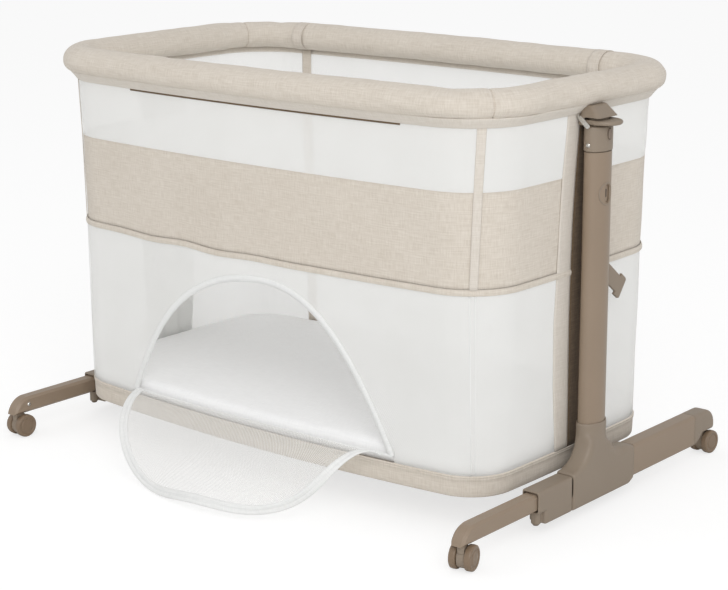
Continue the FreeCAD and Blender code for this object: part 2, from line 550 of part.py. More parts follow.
# ---------------------------------------------------------------- feet
def make_foot():
    """Base block with its socket, rear leg with end cap, and the front leg in its sleeve."""
    x0, x1 = LEG_X - BLOCK_HALF_WIDTH, LEG_X + BLOCK_HALF_WIDTH
    neck = SOCKET[1] / 2 - 1
    body = profile(x0, x1, (BLOCK_FRONT, BLOCK_BOTTOM), (BLOCK_REAR - 14, BLOCK_BOTTOM),
                   (BLOCK_REAR, REAR_BOTTOM), (BLOCK_REAR, REAR_TOP), (BLOCK_REAR - 26, REAR_TOP + 4),
                   (neck + 5, REAR_TOP + 8, neck, REAR_TOP + 24), (-neck, 122),
                   (-neck - 12, 93, BLOCK_FRONT, BLOCK_TOP))
    body = bevel(body, 3.0, flank_edge(x0, x1))
    rim = oval_block(SOCKET, 80, SOCKET_TOP)
    rim = bevel(rim, 1.5, lambda e: e.BoundBox.ZMin > SOCKET_TOP - 1)
    block = fuse_all([body, rim])
    pocket = oval_block(OUTER_TUBE, OUTER_TUBE_BOTTOM, SOCKET_TOP + 1, 0.05)
    leg_room = box(LEG_X - LEG_HALF_WIDTH - CLEAR, LEG_X + LEG_HALF_WIDTH + CLEAR,
                   BLOCK_FRONT - 1, LEG_TAIL + LEG_TRAVEL + 4, LEG_BOTTOM - CLEAR, LEG_TOP + CLEAR)
    save_pair("base_block", block.cut(pocket).cut(leg_room))

    x0, x1 = LEG_X - REAR_HALF_WIDTH, LEG_X + REAR_HALF_WIDTH
    beam = profile(x0, x1, (BLOCK_REAR, REAR_BOTTOM + 1), (REAR_CAP, REAR_BOTTOM + 1),
                   (REAR_CAP, REAR_TOP - 1), (BLOCK_REAR, REAR_TOP - 1))
    save_pair("rear_leg", soften(beam, 6.0, lambda e: e.BoundBox.YLength > 50))
    cap = profile(x0, x1, (REAR_CAP, REAR_BOTTOM + 1), (REAR_CAP + 6, REAR_BOTTOM + 1),
                  (REAR_CAP + 16, 29.5, REAR_NOSE - REAR_FOOT_LENGTH, FOOT_Z), (REAR_NOSE, FOOT_Z), (REAR_NOSE, 52),
                  (REAR_NOSE - 8, REAR_TOP - 9, REAR_NOSE - 28, REAR_TOP - 1), (REAR_CAP, REAR_TOP - 1))
    cap = bevel(cap, 3.0, flank_edge(x0, x1))
    save_pair("rear_cap", cap.cut(stem_bore(REAR_NOSE - 16)))

    x0, x1 = LEG_X - SLEEVE_HALF_WIDTH, LEG_X + SLEEVE_HALF_WIDTH
    sleeve = profile(x0, x1, (SLEEVE_FRONT, SLEEVE_MOUTH_BOTTOM), (SLEEVE_STEP - 2, SLEEVE_MOUTH_BOTTOM),
                     (SLEEVE_STEP + 2, BLOCK_BOTTOM), (BLOCK_FRONT, BLOCK_BOTTOM),
                     (BLOCK_FRONT, SLEEVE_TOP), (SLEEVE_FRONT, SLEEVE_TOP))
    sleeve = bevel(sleeve, 3.0, flank_edge(x0, x1))
    boss = Part.makeCylinder(7.5, 24, V(LEG_X + 3, LEG_BUTTON_Y, 19.0), Z_AXIS)
    bore = Part.makeCylinder(5.0 + CLEAR, 18, V(LEG_X + 3, LEG_BUTTON_Y, 18.0), Z_AXIS)
    room = box(LEG_X - LEG_HALF_WIDTH - CLEAR, LEG_X + LEG_HALF_WIDTH + CLEAR, SLEEVE_FRONT - 1, BLOCK_FRONT + 1,
               LEG_BOTTOM - CLEAR, LEG_TOP + CLEAR)
    save_pair("leg_sleeve", fuse_all([sleeve, boss]).cut(bore).cut(room))
    knob = Part.makeCylinder(5.0, 16.2, V(LEG_X + 3, LEG_BUTTON_Y, 16.4), Z_AXIS)
    save_pair("leg_button", bevel(knob, 1.0, lambda e: e.BoundBox.ZMax < 17))

    x0, x1 = LEG_X - LEG_HALF_WIDTH, LEG_X + LEG_HALF_WIDTH
    leg = profile(x0, x1, (LEG_TAIL, LEG_BOTTOM), (LEG_TAIL, LEG_TOP), (LEG_NOSE + 34, LEG_TOP),
                  (LEG_NOSE + 10, LEG_TOP - 9, LEG_NOSE, FOOT_Z), (LEG_NOSE + FOOT_LENGTH, FOOT_Z))
    leg = bevel(leg, 4.0, flank_edge(x0, x1))
    save_pair("front_leg", leg.cut(stem_bore(LEG_NOSE + 16)))
    snap = Part.makeCone(RIVET_HEAD, RIVET_HEAD - 1.4, 1.4, V(x0, SNAP_Y, SNAP_Z), -X_AXIS)
    save_pair("leg_snap", snap)


def stem_bore(y):
    """Bore for a caster's stem, up into the foot of a leg."""
    return Part.makeCylinder(STEM_RADIUS + 0.05, 16, V(LEG_X, y, FOOT_Z - 1), Z_AXIS)


# ---------------------------------------------------------------- casters
def wheel():
    """Wheel about the X axis: flat tread, bevelled outer edge and a blind bore."""
    r, w, bore = WHEEL_RADIUS, WHEEL_WIDTH, AXLE_RADIUS + 0.05
    outline = [(0, bore), (0, r), (w - 2.5, r), (w, r - 2.5), (w, 0), (w - 3.0, 0), (w - 3.0, bore)]
    points = [V(x, 0, z) for x, z in outline]
    return Part.Face(Part.makePolygon(points + points[:1])).revolve(V(0, 0, 0), X_AXIS, 360)


def make_caster(name, x, y):
    """Swivelling housing with stem and axle, and two wheels that turn on their own."""
    turn = CASTER_TURN[name]
    hub = V(0, TRAIL, WHEEL_RADIUS)
    axle = Part.makeCylinder(AXLE_RADIUS, 2 * 14.2, hub - V(14.2, 0, 0), X_AXIS)
    disc = Part.makeCylinder(WHEEL_RADIUS - 3.0, 2 * HOUSING_HALF_WIDTH, hub - V(HOUSING_HALF_WIDTH, 0, 0), X_AXIS)
    top = Part.makeCylinder(9.5, 12.0, V(0, 0, FOOT_Z - 0.4 - 12.0), Z_AXIS)
    top = top.common(box(-HOUSING_HALF_WIDTH, HOUSING_HALF_WIDTH, -20, 20, 0, 60))
    stem = Part.makeCylinder(STEM_RADIUS, 14.0, V(0, 0, FOOT_Z - 0.6), Z_AXIS)
    pieces = {"caster_housing": fuse_all([disc, top, axle, stem])}
    inner_face = WHEEL_OFFSET - WHEEL_WIDTH / 2
    outward = wheel()
    outward.translate(hub + V(inner_face, 0, 0))
    pieces["caster_wheel_a"] = outward
    pieces["caster_wheel_b"] = outward.mirror(V(0, 0, 0), X_AXIS)
    for kind, shape in pieces.items():
        shape = shape.copy()
        shape.rotate(V(0, 0, 0), Z_AXIS, turn)
        shape.translate(V(x, y, 0))
        save("%s_%s" % (kind, name), shape)


# ---------------------------------------------------------------- the crib
os.makedirs("parts", exist_ok=True)
make_rail()
make_walls()
make_strips()
make_flap()
make_base()
make_post()
make_anchor()
make_foot()
for end_name, end_x in (("right", LEG_X), ("left", -LEG_X)):
    make_caster("front_" + end_name, end_x, -CASTER_Y)
    make_caster("rear_" + end_name, end_x, CASTER_Y)
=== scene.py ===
import math

import bpy
import numpy as np
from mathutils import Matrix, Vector
from mathutils.bvhtree import BVHTree


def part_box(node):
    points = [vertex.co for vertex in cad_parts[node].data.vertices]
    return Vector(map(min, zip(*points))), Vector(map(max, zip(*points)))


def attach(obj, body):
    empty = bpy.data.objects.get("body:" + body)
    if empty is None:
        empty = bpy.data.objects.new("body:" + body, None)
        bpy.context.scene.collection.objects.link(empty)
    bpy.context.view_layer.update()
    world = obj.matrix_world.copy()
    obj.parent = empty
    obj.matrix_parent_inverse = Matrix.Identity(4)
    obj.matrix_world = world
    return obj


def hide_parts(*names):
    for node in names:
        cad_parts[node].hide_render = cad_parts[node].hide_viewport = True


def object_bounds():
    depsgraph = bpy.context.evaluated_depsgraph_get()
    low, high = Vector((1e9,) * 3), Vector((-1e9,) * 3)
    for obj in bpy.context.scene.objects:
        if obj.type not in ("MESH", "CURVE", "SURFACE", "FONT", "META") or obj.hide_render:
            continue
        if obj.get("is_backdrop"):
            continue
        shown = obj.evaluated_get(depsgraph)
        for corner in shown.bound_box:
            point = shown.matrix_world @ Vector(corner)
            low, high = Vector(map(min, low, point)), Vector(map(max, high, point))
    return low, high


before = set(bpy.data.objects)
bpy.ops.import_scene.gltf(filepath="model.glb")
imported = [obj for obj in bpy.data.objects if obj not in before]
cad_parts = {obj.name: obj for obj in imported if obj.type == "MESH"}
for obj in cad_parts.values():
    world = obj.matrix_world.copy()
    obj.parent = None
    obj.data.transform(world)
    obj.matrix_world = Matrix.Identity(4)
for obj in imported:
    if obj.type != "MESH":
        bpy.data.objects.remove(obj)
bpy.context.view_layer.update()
scene = bpy.context.scene


# ---- Camera and studio ----
# A long lens at standing height, looking down a little at the corner by the right-hand post.
# A large soft key beside the camera on its right, a weak fill on the left, and an even white room.

def linear(code):
    """Linear colour with alpha 1 of an sRGB hex code: a power of 2.4 above a short straight toe."""
    value = [int(code[i:i + 2], 16) / 255 for i in (0, 2, 4)]
    return tuple(v / 12.92 if v <= 0.04045 else ((v + 0.055) / 1.055) ** 2.4 for v in value) + (1.0,)


def add(tree, kind, inputs=None, **settings):
    """Add a node with its settings. An input takes a value, a socket, or a node for its first output."""
    made = tree.nodes.new(kind)
    for name, value in settings.items():
        setattr(made, name, value)
    for name, value in (inputs or {}).items():
        if isinstance(value, bpy.types.Node):
            value = value.outputs[0]
        if isinstance(value, bpy.types.NodeSocket):
            tree.links.new(value, made.inputs[name])
        else:
            made.inputs[name].default_value = value
    return made


def compute(tree, operation, *values):
    """Math node on one to three values."""
    return add(tree, "ShaderNodeMath", dict(enumerate(values)), operation=operation)


def spread(tree, value, low, high):
    """Node that maps 0 to 1 onto a range."""
    return add(tree, "ShaderNodeMapRange", {"Value": value, "To Min": low, "To Max": high})


def blank(name):
    """New material with an empty node tree, and the tree."""
    material = bpy.data.materials.new(name)
    material.use_nodes = True
    material.node_tree.nodes.clear()
    return material, material.node_tree


def surfaced(material, shader):
    """The material, with a shader on its output."""
    add(material.node_tree, "ShaderNodeOutputMaterial", {"Surface": shader})
    return material


def put(name, data):
    """New object in the scene."""
    made = bpy.data.objects.new(name, data)
    scene.collection.objects.link(made)
    return made


def put_mesh(name, points, faces):
    """New mesh object in the scene."""
    data = bpy.data.meshes.new(name)
    data.from_pydata(points, [], faces)
    return put(name, data)


azimuth, pitch = math.radians(39.4756), math.radians(12.1049)
camera = put("camera", bpy.data.cameras.new("camera"))
camera.data.sensor_width = 36.0
camera.data.lens = 95.38
camera.data.shift_y = -0.1
camera.data.dof.use_dof = False
camera.location = (2.0086, -2.4164, 1.0602)
camera.rotation_euler = (math.pi / 2 - pitch, 0.0, azimuth)
scene.camera = camera


def softbox(name, place, aim, size, power):
    """Square area lamp at a place, aimed at a point."""
    lamp = put(name, bpy.data.lights.new(name, "AREA"))
    lamp.data.shape = "SQUARE"
    lamp.data.size = size
    lamp.data.energy = power
    lamp.location = place
    lamp.rotation_euler = (Vector(aim) - Vector(place)).to_track_quat("-Z", "Y").to_euler()


HEART = (0.0, 0.0, 0.35)
softbox("key_right", (2.7, -2.6, 2.5), HEART, 2.6, 62.0)
softbox("fill_left", (-2.6, -2.0, 2.4), HEART, 2.4, 10.0)

room = bpy.data.worlds.new("white_room")
room.use_nodes = True
room.node_tree.nodes.clear()
rays = add(room.node_tree, "ShaderNodeLightPath").outputs
shown = compute(room.node_tree, "MAXIMUM", rays["Is Camera Ray"], rays["Is Transmission Ray"])
WHITE = (1, 1, 1, 1)
LIT_BY_ROOM, SEEN_ROOM, FLOOR_REACH, FLOOR_GLOW = 0.68, 1.0, 9.0, 0.69
light = add(room.node_tree, "ShaderNodeBackground", {
    "Color": WHITE, "Strength": spread(room.node_tree, shown, LIT_BY_ROOM, SEEN_ROOM)})
add(room.node_tree, "ShaderNodeOutputWorld", {"Surface": light})
scene.world = room
scene.view_settings.view_transform = "Standard"

corners = [(x * FLOOR_REACH, y * FLOOR_REACH, 0) for x, y in ((-1, -1), (1, -1), (1, 1), (-1, 1))]
floor = put_mesh("floor", corners, [(0, 1, 2, 3)])
floor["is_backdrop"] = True
paint, tree = blank("white_studio_floor")
rays = add(tree, "ShaderNodeLightPath").outputs
matt = add(tree, "ShaderNodeBsdfDiffuse", {"Color": linear("F4F4F3")})
pale = add(tree, "ShaderNodeBsdfDiffuse", {"Color": linear("A4A4A4")})
lift = add(tree, "ShaderNodeEmission", {"Color": WHITE, "Strength": FLOOR_GLOW})
both = add(tree, "ShaderNodeAddShader", {0: pale, 1: lift})
mixed = add(tree, "ShaderNodeMixShader", {0: rays["Is Camera Ray"], 1: matt, 2: both})
floor.data.materials.append(surfaced(paint, mixed))


# ---- Feet: coated steel legs and moulded blocks ----
# Each foot is a moulded nylon block with a steel rear leg and a front leg that slides in a
# sleeve. The steel has a satin taupe powder coat; the mouldings are textured to match it.

def dress(material, *names):
    """Give CAD nodes a material."""
    for name in names:
        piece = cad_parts[name]
        piece.data.materials.clear()
        piece.data.materials.append(material)


def noise(tree, place, scale, detail):
    """Noise texture at a coordinate, `scale` grains to the metre."""
    return add(tree, "ShaderNodeTexNoise", {"Vector": place, "Scale": scale, "Detail": detail})


def tinted(tree, share, first, second):
    """Mix of two hex colours by a share."""
    return add(tree, "ShaderNodeMixRGB", {
        "Fac": share, "Color1": linear(first), "Color2": linear(second)})


def bumps(tree, height, strength, distance):
    """Bump of a height field, a distance in metres deep."""
    return add(tree, "ShaderNodeBump", {"Height": height, "Strength": strength, "Distance": distance})


def coated(name, colour, shade, grain, rough, bump):
    """Opaque satin finish: two close colours in soft patches, and a fine bump of a grain in metres."""
    material, tree = blank(name)
    place = add(tree, "ShaderNodeTexCoord").outputs["Object"]
    pits = noise(tree, place, 1 / grain, 2.0)
    return surfaced(material, add(tree, "ShaderNodeBsdfPrincipled", {
        "Base Color": tinted(tree, noise(tree, place, 9.0, 3.0), colour, shade),
        "Roughness": spread(tree, pits, rough - 0.05, rough + 0.07),
        "Normal": bumps(tree, pits, bump, 0.0004), "IOR": 1.5}))


powder_coat = coated("taupe_powder_coated_steel", "968471", "8F7D6B", 0.0011, 0.4, 0.2)
textured_nylon = coated("taupe_textured_nylon", "918373", "8A7C6D", 0.0008, 0.46, 0.3)


def place_piece(piece, body, slot, materials, *nodes):
    """Give a piece its materials and the body it rides on, and hide the nodes it stands for; `slot` is
    not used.
    """
    for material in materials:
        piece.data.materials.append(material)
    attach(piece, body)
    if nodes:
        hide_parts(*nodes)
    return piece


def prism(count, first=0):
    """Faces of a prism between two outlines of `count` corners, numbered from `first`."""
    ring = [(first + i, first + (i + 1) % count) for i in range(count)]
    return [(a, b, b + count, a + count) for a, b in ring] + [
        tuple(range(first, first + count))[::-1], tuple(range(first + count, first + 2 * count))]


def points_of(data):
    """Array of a mesh's points."""
    return np.array([tuple(vertex.co) for vertex in data.vertices])


def applied(piece):
    """Mesh of an object with its modifiers applied, in place of the object."""
    depsgraph = bpy.context.evaluated_depsgraph_get()
    data = bpy.data.meshes.new_from_object(piece.evaluated_get(depsgraph))
    bpy.data.objects.remove(piece)
    return data


PULL, MELT_ROUNDS, MELT_FADE = 0.6, 40, 0.012


def moulded(node, voxel, rounds, shape=None, filler=(), melt=None):
    """Copy of a CAD node with its creases melted together, as a moulding has them.

    `shape` moves the copy's points, and `filler` is a closed outline of (y, z) with two x for a
    fillet's flesh. The copy is remeshed at `voxel` metres. Each round moves a point by PULL of the
    way to its neighbours' mean, and MELT_ROUNDS more act between the two heights of `melt`.
    """
    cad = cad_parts[node]
    matrix = np.array(cad.matrix_world)
    loose = points_of(cad.data) @ matrix[:3, :3].T + matrix[:3, 3]
    points, merged = np.unique(loose.round(6), axis=0, return_inverse=True)
    faces = [tuple(merged.ravel()[list(face.vertices)].tolist()) for face in cad.data.polygons]
    if shape:
        points = shape(points)
    for outline, x0, x1 in filler:
        faces += prism(len(outline), len(points))
        points = np.concatenate([points, [(x, y, z) for x in (x0, x1) for y, z in outline]])
    holder = put_mesh("rough", points.tolist(), faces)
    remesh = holder.modifiers.new("voxels", "REMESH")
    remesh.mode, remesh.voxel_size = "VOXEL", voxel
    data = applied(holder)
    points = points_of(data)
    edges = np.array([tuple(edge.vertices) for edge in data.edges])
    ends = np.concatenate([edges, edges[:, ::-1]])
    near = np.bincount(ends[:, 0], minlength=len(points))[:, None]
    pull = [np.full((len(points), 1), PULL)] * rounds
    if melt:
        inside = np.minimum(points[:, 2:] - melt[0], melt[1] - points[:, 2:])
        pull += [PULL * np.clip(inside / MELT_FADE, 0, 1)] * MELT_ROUNDS
    for strength in pull:
        total = [np.bincount(ends[:, 0], points[ends[:, 1], k], len(points)) for k in range(3)]
        points += strength * (np.stack(total, 1) / near - points)
    data.vertices.foreach_set("co", points.ravel())
    data.polygons.foreach_set("use_smooth", np.ones(len(data.polygons), bool))
    return put("moulded_" + node, data)


LEG_X, LEG_MIDDLE_Z, LEG_WAY_X, LEG_WAY_Z, LEG_ROOM = 0.477, 0.0545, 0.0126, 0.014, 0.0008
MOUTH_Y, MOUTH_BACK = -0.168, 0.02
BUTTON_X, BUTTON_Y, BORE_TOP, BORE_RADIUS, BORE_WIDENED = LEG_X + 0.003, -0.158, 0.038, 0.0056, 0.0064


def roomy_leg_way(points):
    """Moulding whose way for the sliding leg is wider by LEG_ROOM all round, as smoothing closes it."""
    aside = np.abs(points[:, 0]) - LEG_X
    above = points[:, 2] - LEG_MIDDLE_Z
    inner = (np.abs(aside) < LEG_WAY_X) & (np.abs(above) < LEG_WAY_Z)
    points[inner, 0] += np.sign(points[inner, 0]) * np.sign(aside[inner]) * LEG_ROOM
    points[inner, 2] += np.sign(above[inner]) * LEG_ROOM
    return points


def shorter_sleeve(points):
    """Sleeve whose mouth is 20 mm further back than in the CAD, with a wider bore for its button."""
    points = roomy_leg_way(points)
    points[points[:, 1] < MOUTH_Y, 1] += MOUTH_BACK
    axis = np.array([math.copysign(BUTTON_X, points[0, 0]), BUTTON_Y])
    radius = np.linalg.norm(points[:, :2] - axis, axis=1)
    bore = (radius < BORE_RADIUS) & (points[:, 2] < BORE_TOP)
    points[bore, :2] = axis + (points[bore, :2] - axis) * (BORE_WIDENED / radius[bore])[:, None]
    return points


# Outlines (y, z) of a fillet's flesh: under the sleeve's heel, and over the leg at the post's foot.
HEEL = ((-0.151, 0.04), (-0.151, 0.0215), (-0.1495, 0.018), (-0.144, 0.0172), (-0.144, 0.04))
SADDLE = (
    (0.02, 0.105), (0.031, 0.104), (0.036, 0.094), (0.046, 0.087), (0.072, 0.083), (0.072, 0.07),
    (0.02, 0.07))
SIDES = (("right", 1), ("left", -1))
for side, sign in SIDES:
    dress(powder_coat, "rear_leg_" + side, "front_leg_" + side)
    saddle, heel = (SADDLE, sign * 0.4625, sign * 0.4915), (HEEL, sign * 0.463, sign * 0.491)
    for node, voxel, rounds, shape, filler, melt in (
            ("base_block_", 0.0016, 9, roomy_leg_way, [saddle], (0.074, 0.134)),
            ("leg_sleeve_", 0.0012, 5, shorter_sleeve, [heel], None),
            ("rear_cap_", 0.0016, 6, None, (), None)):
        part = moulded(node + side, voxel, rounds, shape, filler, melt)
        place_piece(part, "stand_" + side, "taupe_plastic", [textured_nylon], node + side)


# ---- Casters ----
# Twin wheels of glossy moulded nylon on a housing with a swivel stem. Each wheel is drawn as a
# turned profile with a rounded tread and a shallow ring in its outer face.

def skin(name, points, wrap, scale=None):
    """Mesh of a grid of points (rows, columns, xyz) with UVs; wrap closes it along (rows, columns).

    The UVs are the mean distances along the rows and columns, in metres, unless `scale` gives them.
    """
    rows, columns = points.shape[:2]
    i, j = np.meshgrid(np.arange(rows - 1 + wrap[0]), np.arange(columns - 1 + wrap[1]), indexing="ij")
    i, j = i.ravel(), j.ravel()
    corners = [(i, j), (i + 1, j), (i + 1, j + 1), (i, j + 1)]
    faces = np.stack([(a % rows) * columns + b % columns for a, b in corners], 1)
    made = put_mesh(name, points.reshape(-1, 3).tolist(), faces.tolist())
    if scale is None:
        closed = np.concatenate([points, points[:1]], 0) if wrap[0] else points
        closed = np.concatenate([closed, closed[:, :1]], 1) if wrap[1] else closed
        step_u = np.linalg.norm(np.diff(closed, axis=0), axis=2).mean(1)
        step_v = np.linalg.norm(np.diff(closed, axis=1), axis=2).mean(0)
        u, v = (np.concatenate([[0.0], np.cumsum(step)]) for step in (step_u, step_v))
        scale = np.stack(np.meshgrid(u, v, indexing="ij"), -1)
    layer = made.data.uv_layers.new(name="metres")
    layer.data.foreach_set("uv", np.stack([scale[a, b] for a, b in corners], 1).ravel())
    made.data.polygons.foreach_set("use_smooth", np.ones(len(faces), bool))
    return made


glossy_nylon = coated("taupe_glossy_nylon", "85715D", "7C6955", 0.0006, 0.38, 0.12)
WHEEL = np.array([
    (0.0002, 0.0026), (0.0002, 0.018), (0.0008, 0.0191), (0.0022, 0.0195), (0.008, 0.0195),
    (0.0098, 0.0191), (0.0107, 0.018), (0.011, 0.0165), (0.011, 0.0148), (0.0106, 0.0143),
    (0.0101, 0.0141), (0.0101, 0.0112), (0.0106, 0.0108), (0.0108, 0.01), (0.0109, 0.0045),
    (0.0109, 0.0001)])
WHEEL_SPACING, WHEEL_STEPS = 0.0065, 48
for end in ("front", "rear"):
    for side, _ in SIDES:
        corner = "%s_%s" % (end, side)
        dress(textured_nylon, "caster_housing_" + corner)
        boxes = [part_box("caster_wheel_%s_%s" % (letter, corner)) for letter in "ab"]
        a_middle, b_middle = ((low + high) / 2 for low, high in boxes)
        axle = a_middle - b_middle
        axle.z = 0.0
        axle.normalize()
        for letter, sign in (("a", 1), ("b", -1)):
            hub = (a_middle + b_middle) / 2 + axle * sign * WHEEL_SPACING
            turn = np.linspace(0, 2 * np.pi, WHEEL_STEPS, endpoint=False)[:, None]
            radius, out = WHEEL[None, :, 1], WHEEL[None, :, 0] * sign
            level = radius * np.cos(turn)
            points = np.stack([hub.x + axle.x * out - level * axle.y,
                               hub.y + axle.y * out + level * axle.x,
                               hub.z + radius * np.sin(turn) + 0 * out], -1)
            name = "wheel_%s_%s" % (letter, corner)
            wheel = skin(name, points[:, ::-1] if sign > 0 else points, (True, False))
            place_piece(wheel, name, "caster_plastic", [glossy_nylon], "caster_" + name)


# ---- Posts ----
# Oval steel tubes with the feet's powder coat. Collars, heads, levers and hook plates are moulded;
# the lock buttons are a shade darker and the rivets are plated.

def metal(name, colour, rough):
    """Plated steel: fine brushing in the gloss and small dents in the surface."""
    material, tree = blank(name)
    marks = noise(tree, add(tree, "ShaderNodeTexCoord").outputs["Object"], 900.0, 2.0)
    return surfaced(material, add(tree, "ShaderNodeBsdfPrincipled", {
        "Base Color": tinted(tree, marks, colour, "BDBBB6"), "Metallic": 1.0,
        "Roughness": spread(tree, marks, rough, rough + 0.14),
        "Normal": bumps(tree, marks, 0.15, 0.0002)}))


button_nylon = coated("darker_nylon_button", "84766A", "7B6D60", 0.0007, 0.42, 0.25)
plated_steel = metal("nickel_plated_steel", "D6D4CF", 0.16)
bare_steel = metal("bare_steel_tube", "9A9A98", 0.32)
figure_ink = coated("dark_printed_figures", "43382F", "3B312A", 0.0009, 0.55, 0.1)
POST_X, HEAD_BOTTOM, PADDLE_TOP, COLLAR_BOTTOM = 0.472, 0.6126, 0.609, 0.5608
HEAD_SLIM_X, HEAD_SLIM_Y, HEAD_STRETCH, HEAD_TOP, HEAD_LEAN = 0.72, 0.74, 1.4, 0.635, 0.6
PLATE_START, PLATE_THIN, JOINT_GAP, HEIGHT_SLACK = POST_X - 0.004, 0.78, 0.001, 0.0012


def narrow_head(points):
    """Head whose block is slimmer than in the CAD and leans in under the pad as it rises."""
    above = points[:, 2] > HEAD_BOTTOM + HEIGHT_SLACK
    middle = math.copysign(POST_X, points[0, 0])
    rise = HEAD_STRETCH * (points[above, 2] - HEAD_BOTTOM)
    points[above, 0] = middle + HEAD_SLIM_X * (points[above, 0] - middle)
    points[above, 1] *= HEAD_SLIM_Y
    points[above, 2] = np.minimum(HEAD_BOTTOM + rise, HEAD_TOP)
    points[above, 0] -= np.copysign(HEAD_LEAN * (points[above, 2] - HEAD_BOTTOM), middle)
    return points


def thin_lever(points):
    """Lever whose D-shaped plate is 7 mm thick."""
    plate = np.abs(points[:, 0]) > PLATE_START
    points[plate, 2] = PADDLE_TOP - PLATE_THIN * (PADDLE_TOP - points[plate, 2])
    return points


def short_collar(points):
    """Collar that ends 1 mm higher, so that its joint with the outer tube shows as a line."""
    points[points[:, 2] < COLLAR_BOTTOM + HEIGHT_SLACK, 2] += JOINT_GAP
    return points


# The hook's neck is 26 mm wide and slopes down by 38 degrees: (along, across) from its middle.
NECK_Y, NECK_Z, SLOPE_COS, SLOPE_SIN = 0.0475, 0.356, 0.788, 0.616
NECK = [(NECK_Y + along * SLOPE_COS + across * SLOPE_SIN,
         NECK_Z - along * SLOPE_SIN + across * SLOPE_COS)
        for along, across in ((-0.028, -0.013), (0.022, -0.013), (0.022, 0.013), (-0.028, 0.013))]
RIM = np.array([
    (-0.0012, -0.0006), (-0.001, 0.0005), (-0.0003, 0.001), (0.0005, 0.0009), (0.0011, 0.0003),
    (0.0012, -0.0006)])


def rim_on(name, node, half_width, half_height, middle_z, sign, middle_y=0.0):
    """Oval rim round an opening in a post's outer face, on the surface of a CAD node."""
    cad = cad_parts[node]
    surface = BVHTree.FromPolygons(
        [cad.matrix_world @ vertex.co for vertex in cad.data.vertices],
        [tuple(face.vertices) for face in cad.data.polygons])
    turn = np.linspace(0, 2 * np.pi, 72, endpoint=False)
    hits = [surface.ray_cast(Vector((sign * 0.7, y, z)), Vector((-sign, 0, 0))) for y, z in zip(
        middle_y + half_width * np.cos(turn), middle_z + half_height * np.sin(turn))]
    place, facing = (np.array([tuple(hit[k]) for hit in hits]) for k in (0, 1))
    radial = np.stack([0 * turn, np.cos(turn), np.sin(turn)], 1)
    radial -= facing * (radial * facing).sum(1)[:, None]
    points = place[:, None] + radial[:, None] * RIM[None, :, :1] + facing[:, None] * RIM[None, :, 1:]
    return skin(name, points if sign > 0 else points[:, ::-1], (True, False))


TOP_LEVEL_Z, LEVEL_STEP, FIGURE_SIZE, FIGURE_BOLD, INK = 0.497, 0.04, 0.017, 0.0004, 0.0001
for side, sign in SIDES:
    dress(powder_coat, "outer_tube_" + side, "inner_tube_" + side)
    neck = (NECK, sign * 0.4692, sign * 0.4738)
    for node, body, voxel, rounds, shape, filler in (
            ("strap_anchor_", "stand_" + side, 0.0009, 1, None, [neck]),
            ("post_head_", "crib", 0.0011, 6, narrow_head, ()),
            ("collar_", "crib", 0.001, 3, short_collar, ()),
            ("height_paddle_", "height_lever_" + side, 0.001, 6, thin_lever, ())):
        part = moulded(node + side, voxel, rounds, shape, filler)
        place_piece(part, body, "taupe_plastic", [textured_nylon], node + side)
    tube, collar = "outer_tube_" + side, "collar_" + side
    window = rim_on("window_rim_" + side, tube, 0.0145, 0.0166, TOP_LEVEL_Z, sign, -0.002)
    place_piece(window, "stand_" + side, "taupe_plastic", [textured_nylon])
    button = rim_on("button_rim_" + side, collar, 0.0068, 0.0105, 0.588, sign)
    place_piece(button, "crib", "taupe_plastic", [textured_nylon])
    dress(button_nylon, "collar_button_" + side, "leg_button_" + side)
    dress(plated_steel, "collar_rivets_" + side, "leg_snap_" + side)
    low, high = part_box("inner_tube_" + side)
    face = high.x if sign > 0 else low.x
    for figure in range(1, 6):
        digit = bpy.data.curves.new("level_figure", "FONT")
        digit.body = str(figure)
        digit.size = FIGURE_SIZE
        digit.offset = FIGURE_BOLD
        digit.align_x, digit.align_y = "CENTER", "CENTER"
        digit.extrude = INK
        drawn = put("figure", digit)
        drawn.rotation_euler = (math.pi / 2, 0, math.pi / 2 * sign)
        drawn.location = (face + sign * INK, 0.0, TOP_LEVEL_Z - LEVEL_STEP * (figure - 1))
        bpy.context.view_layer.update()
        shape = bpy.data.meshes.new_from_object(drawn)
        shape.transform(drawn.matrix_world)
        bpy.data.objects.remove(drawn)
        number = put("level_%d_%s" % (figure, side), shape)
        place_piece(number, "crib", "grey_button", [figure_ink])


# ---- Padded rail ----
# A foam-padded steel ring in a sewn linen sleeve. The sleeve closes under the pad in a flat hem,
# which carries the walls, and has a cross seam at two opposite corners.

HALF_LENGTH, HALF_WIDTH, END_BOW = 0.447, 0.267, 0.006
HEM, BAND_TOP, WELT, BASE_TOP, BASE_BOTTOM = 0.6165, 0.5225, 0.377, 0.093, 0.059
RAIL_Z, RAIL_CORNER, RAIL_BOW = 0.6475, 0.103, 0.0225
# Each row is a height, how far the plan grows there, its corner's radius and its side's bow.
SEAMS = np.array([
    (BASE_BOTTOM, -0.01, 0.076, 0.03), (BASE_TOP, -0.0085, 0.078, 0.03), (WELT, -0.003, 0.095, 0.026),
    (BAND_TOP, 0.0, 0.1, 0.0235), (HEM, 0.0045, 0.106, 0.0225), (RAIL_Z, 0.0045, 0.106, 0.0225)])
END_SHARE, CORNER_SHARE = 0.245, 0.21


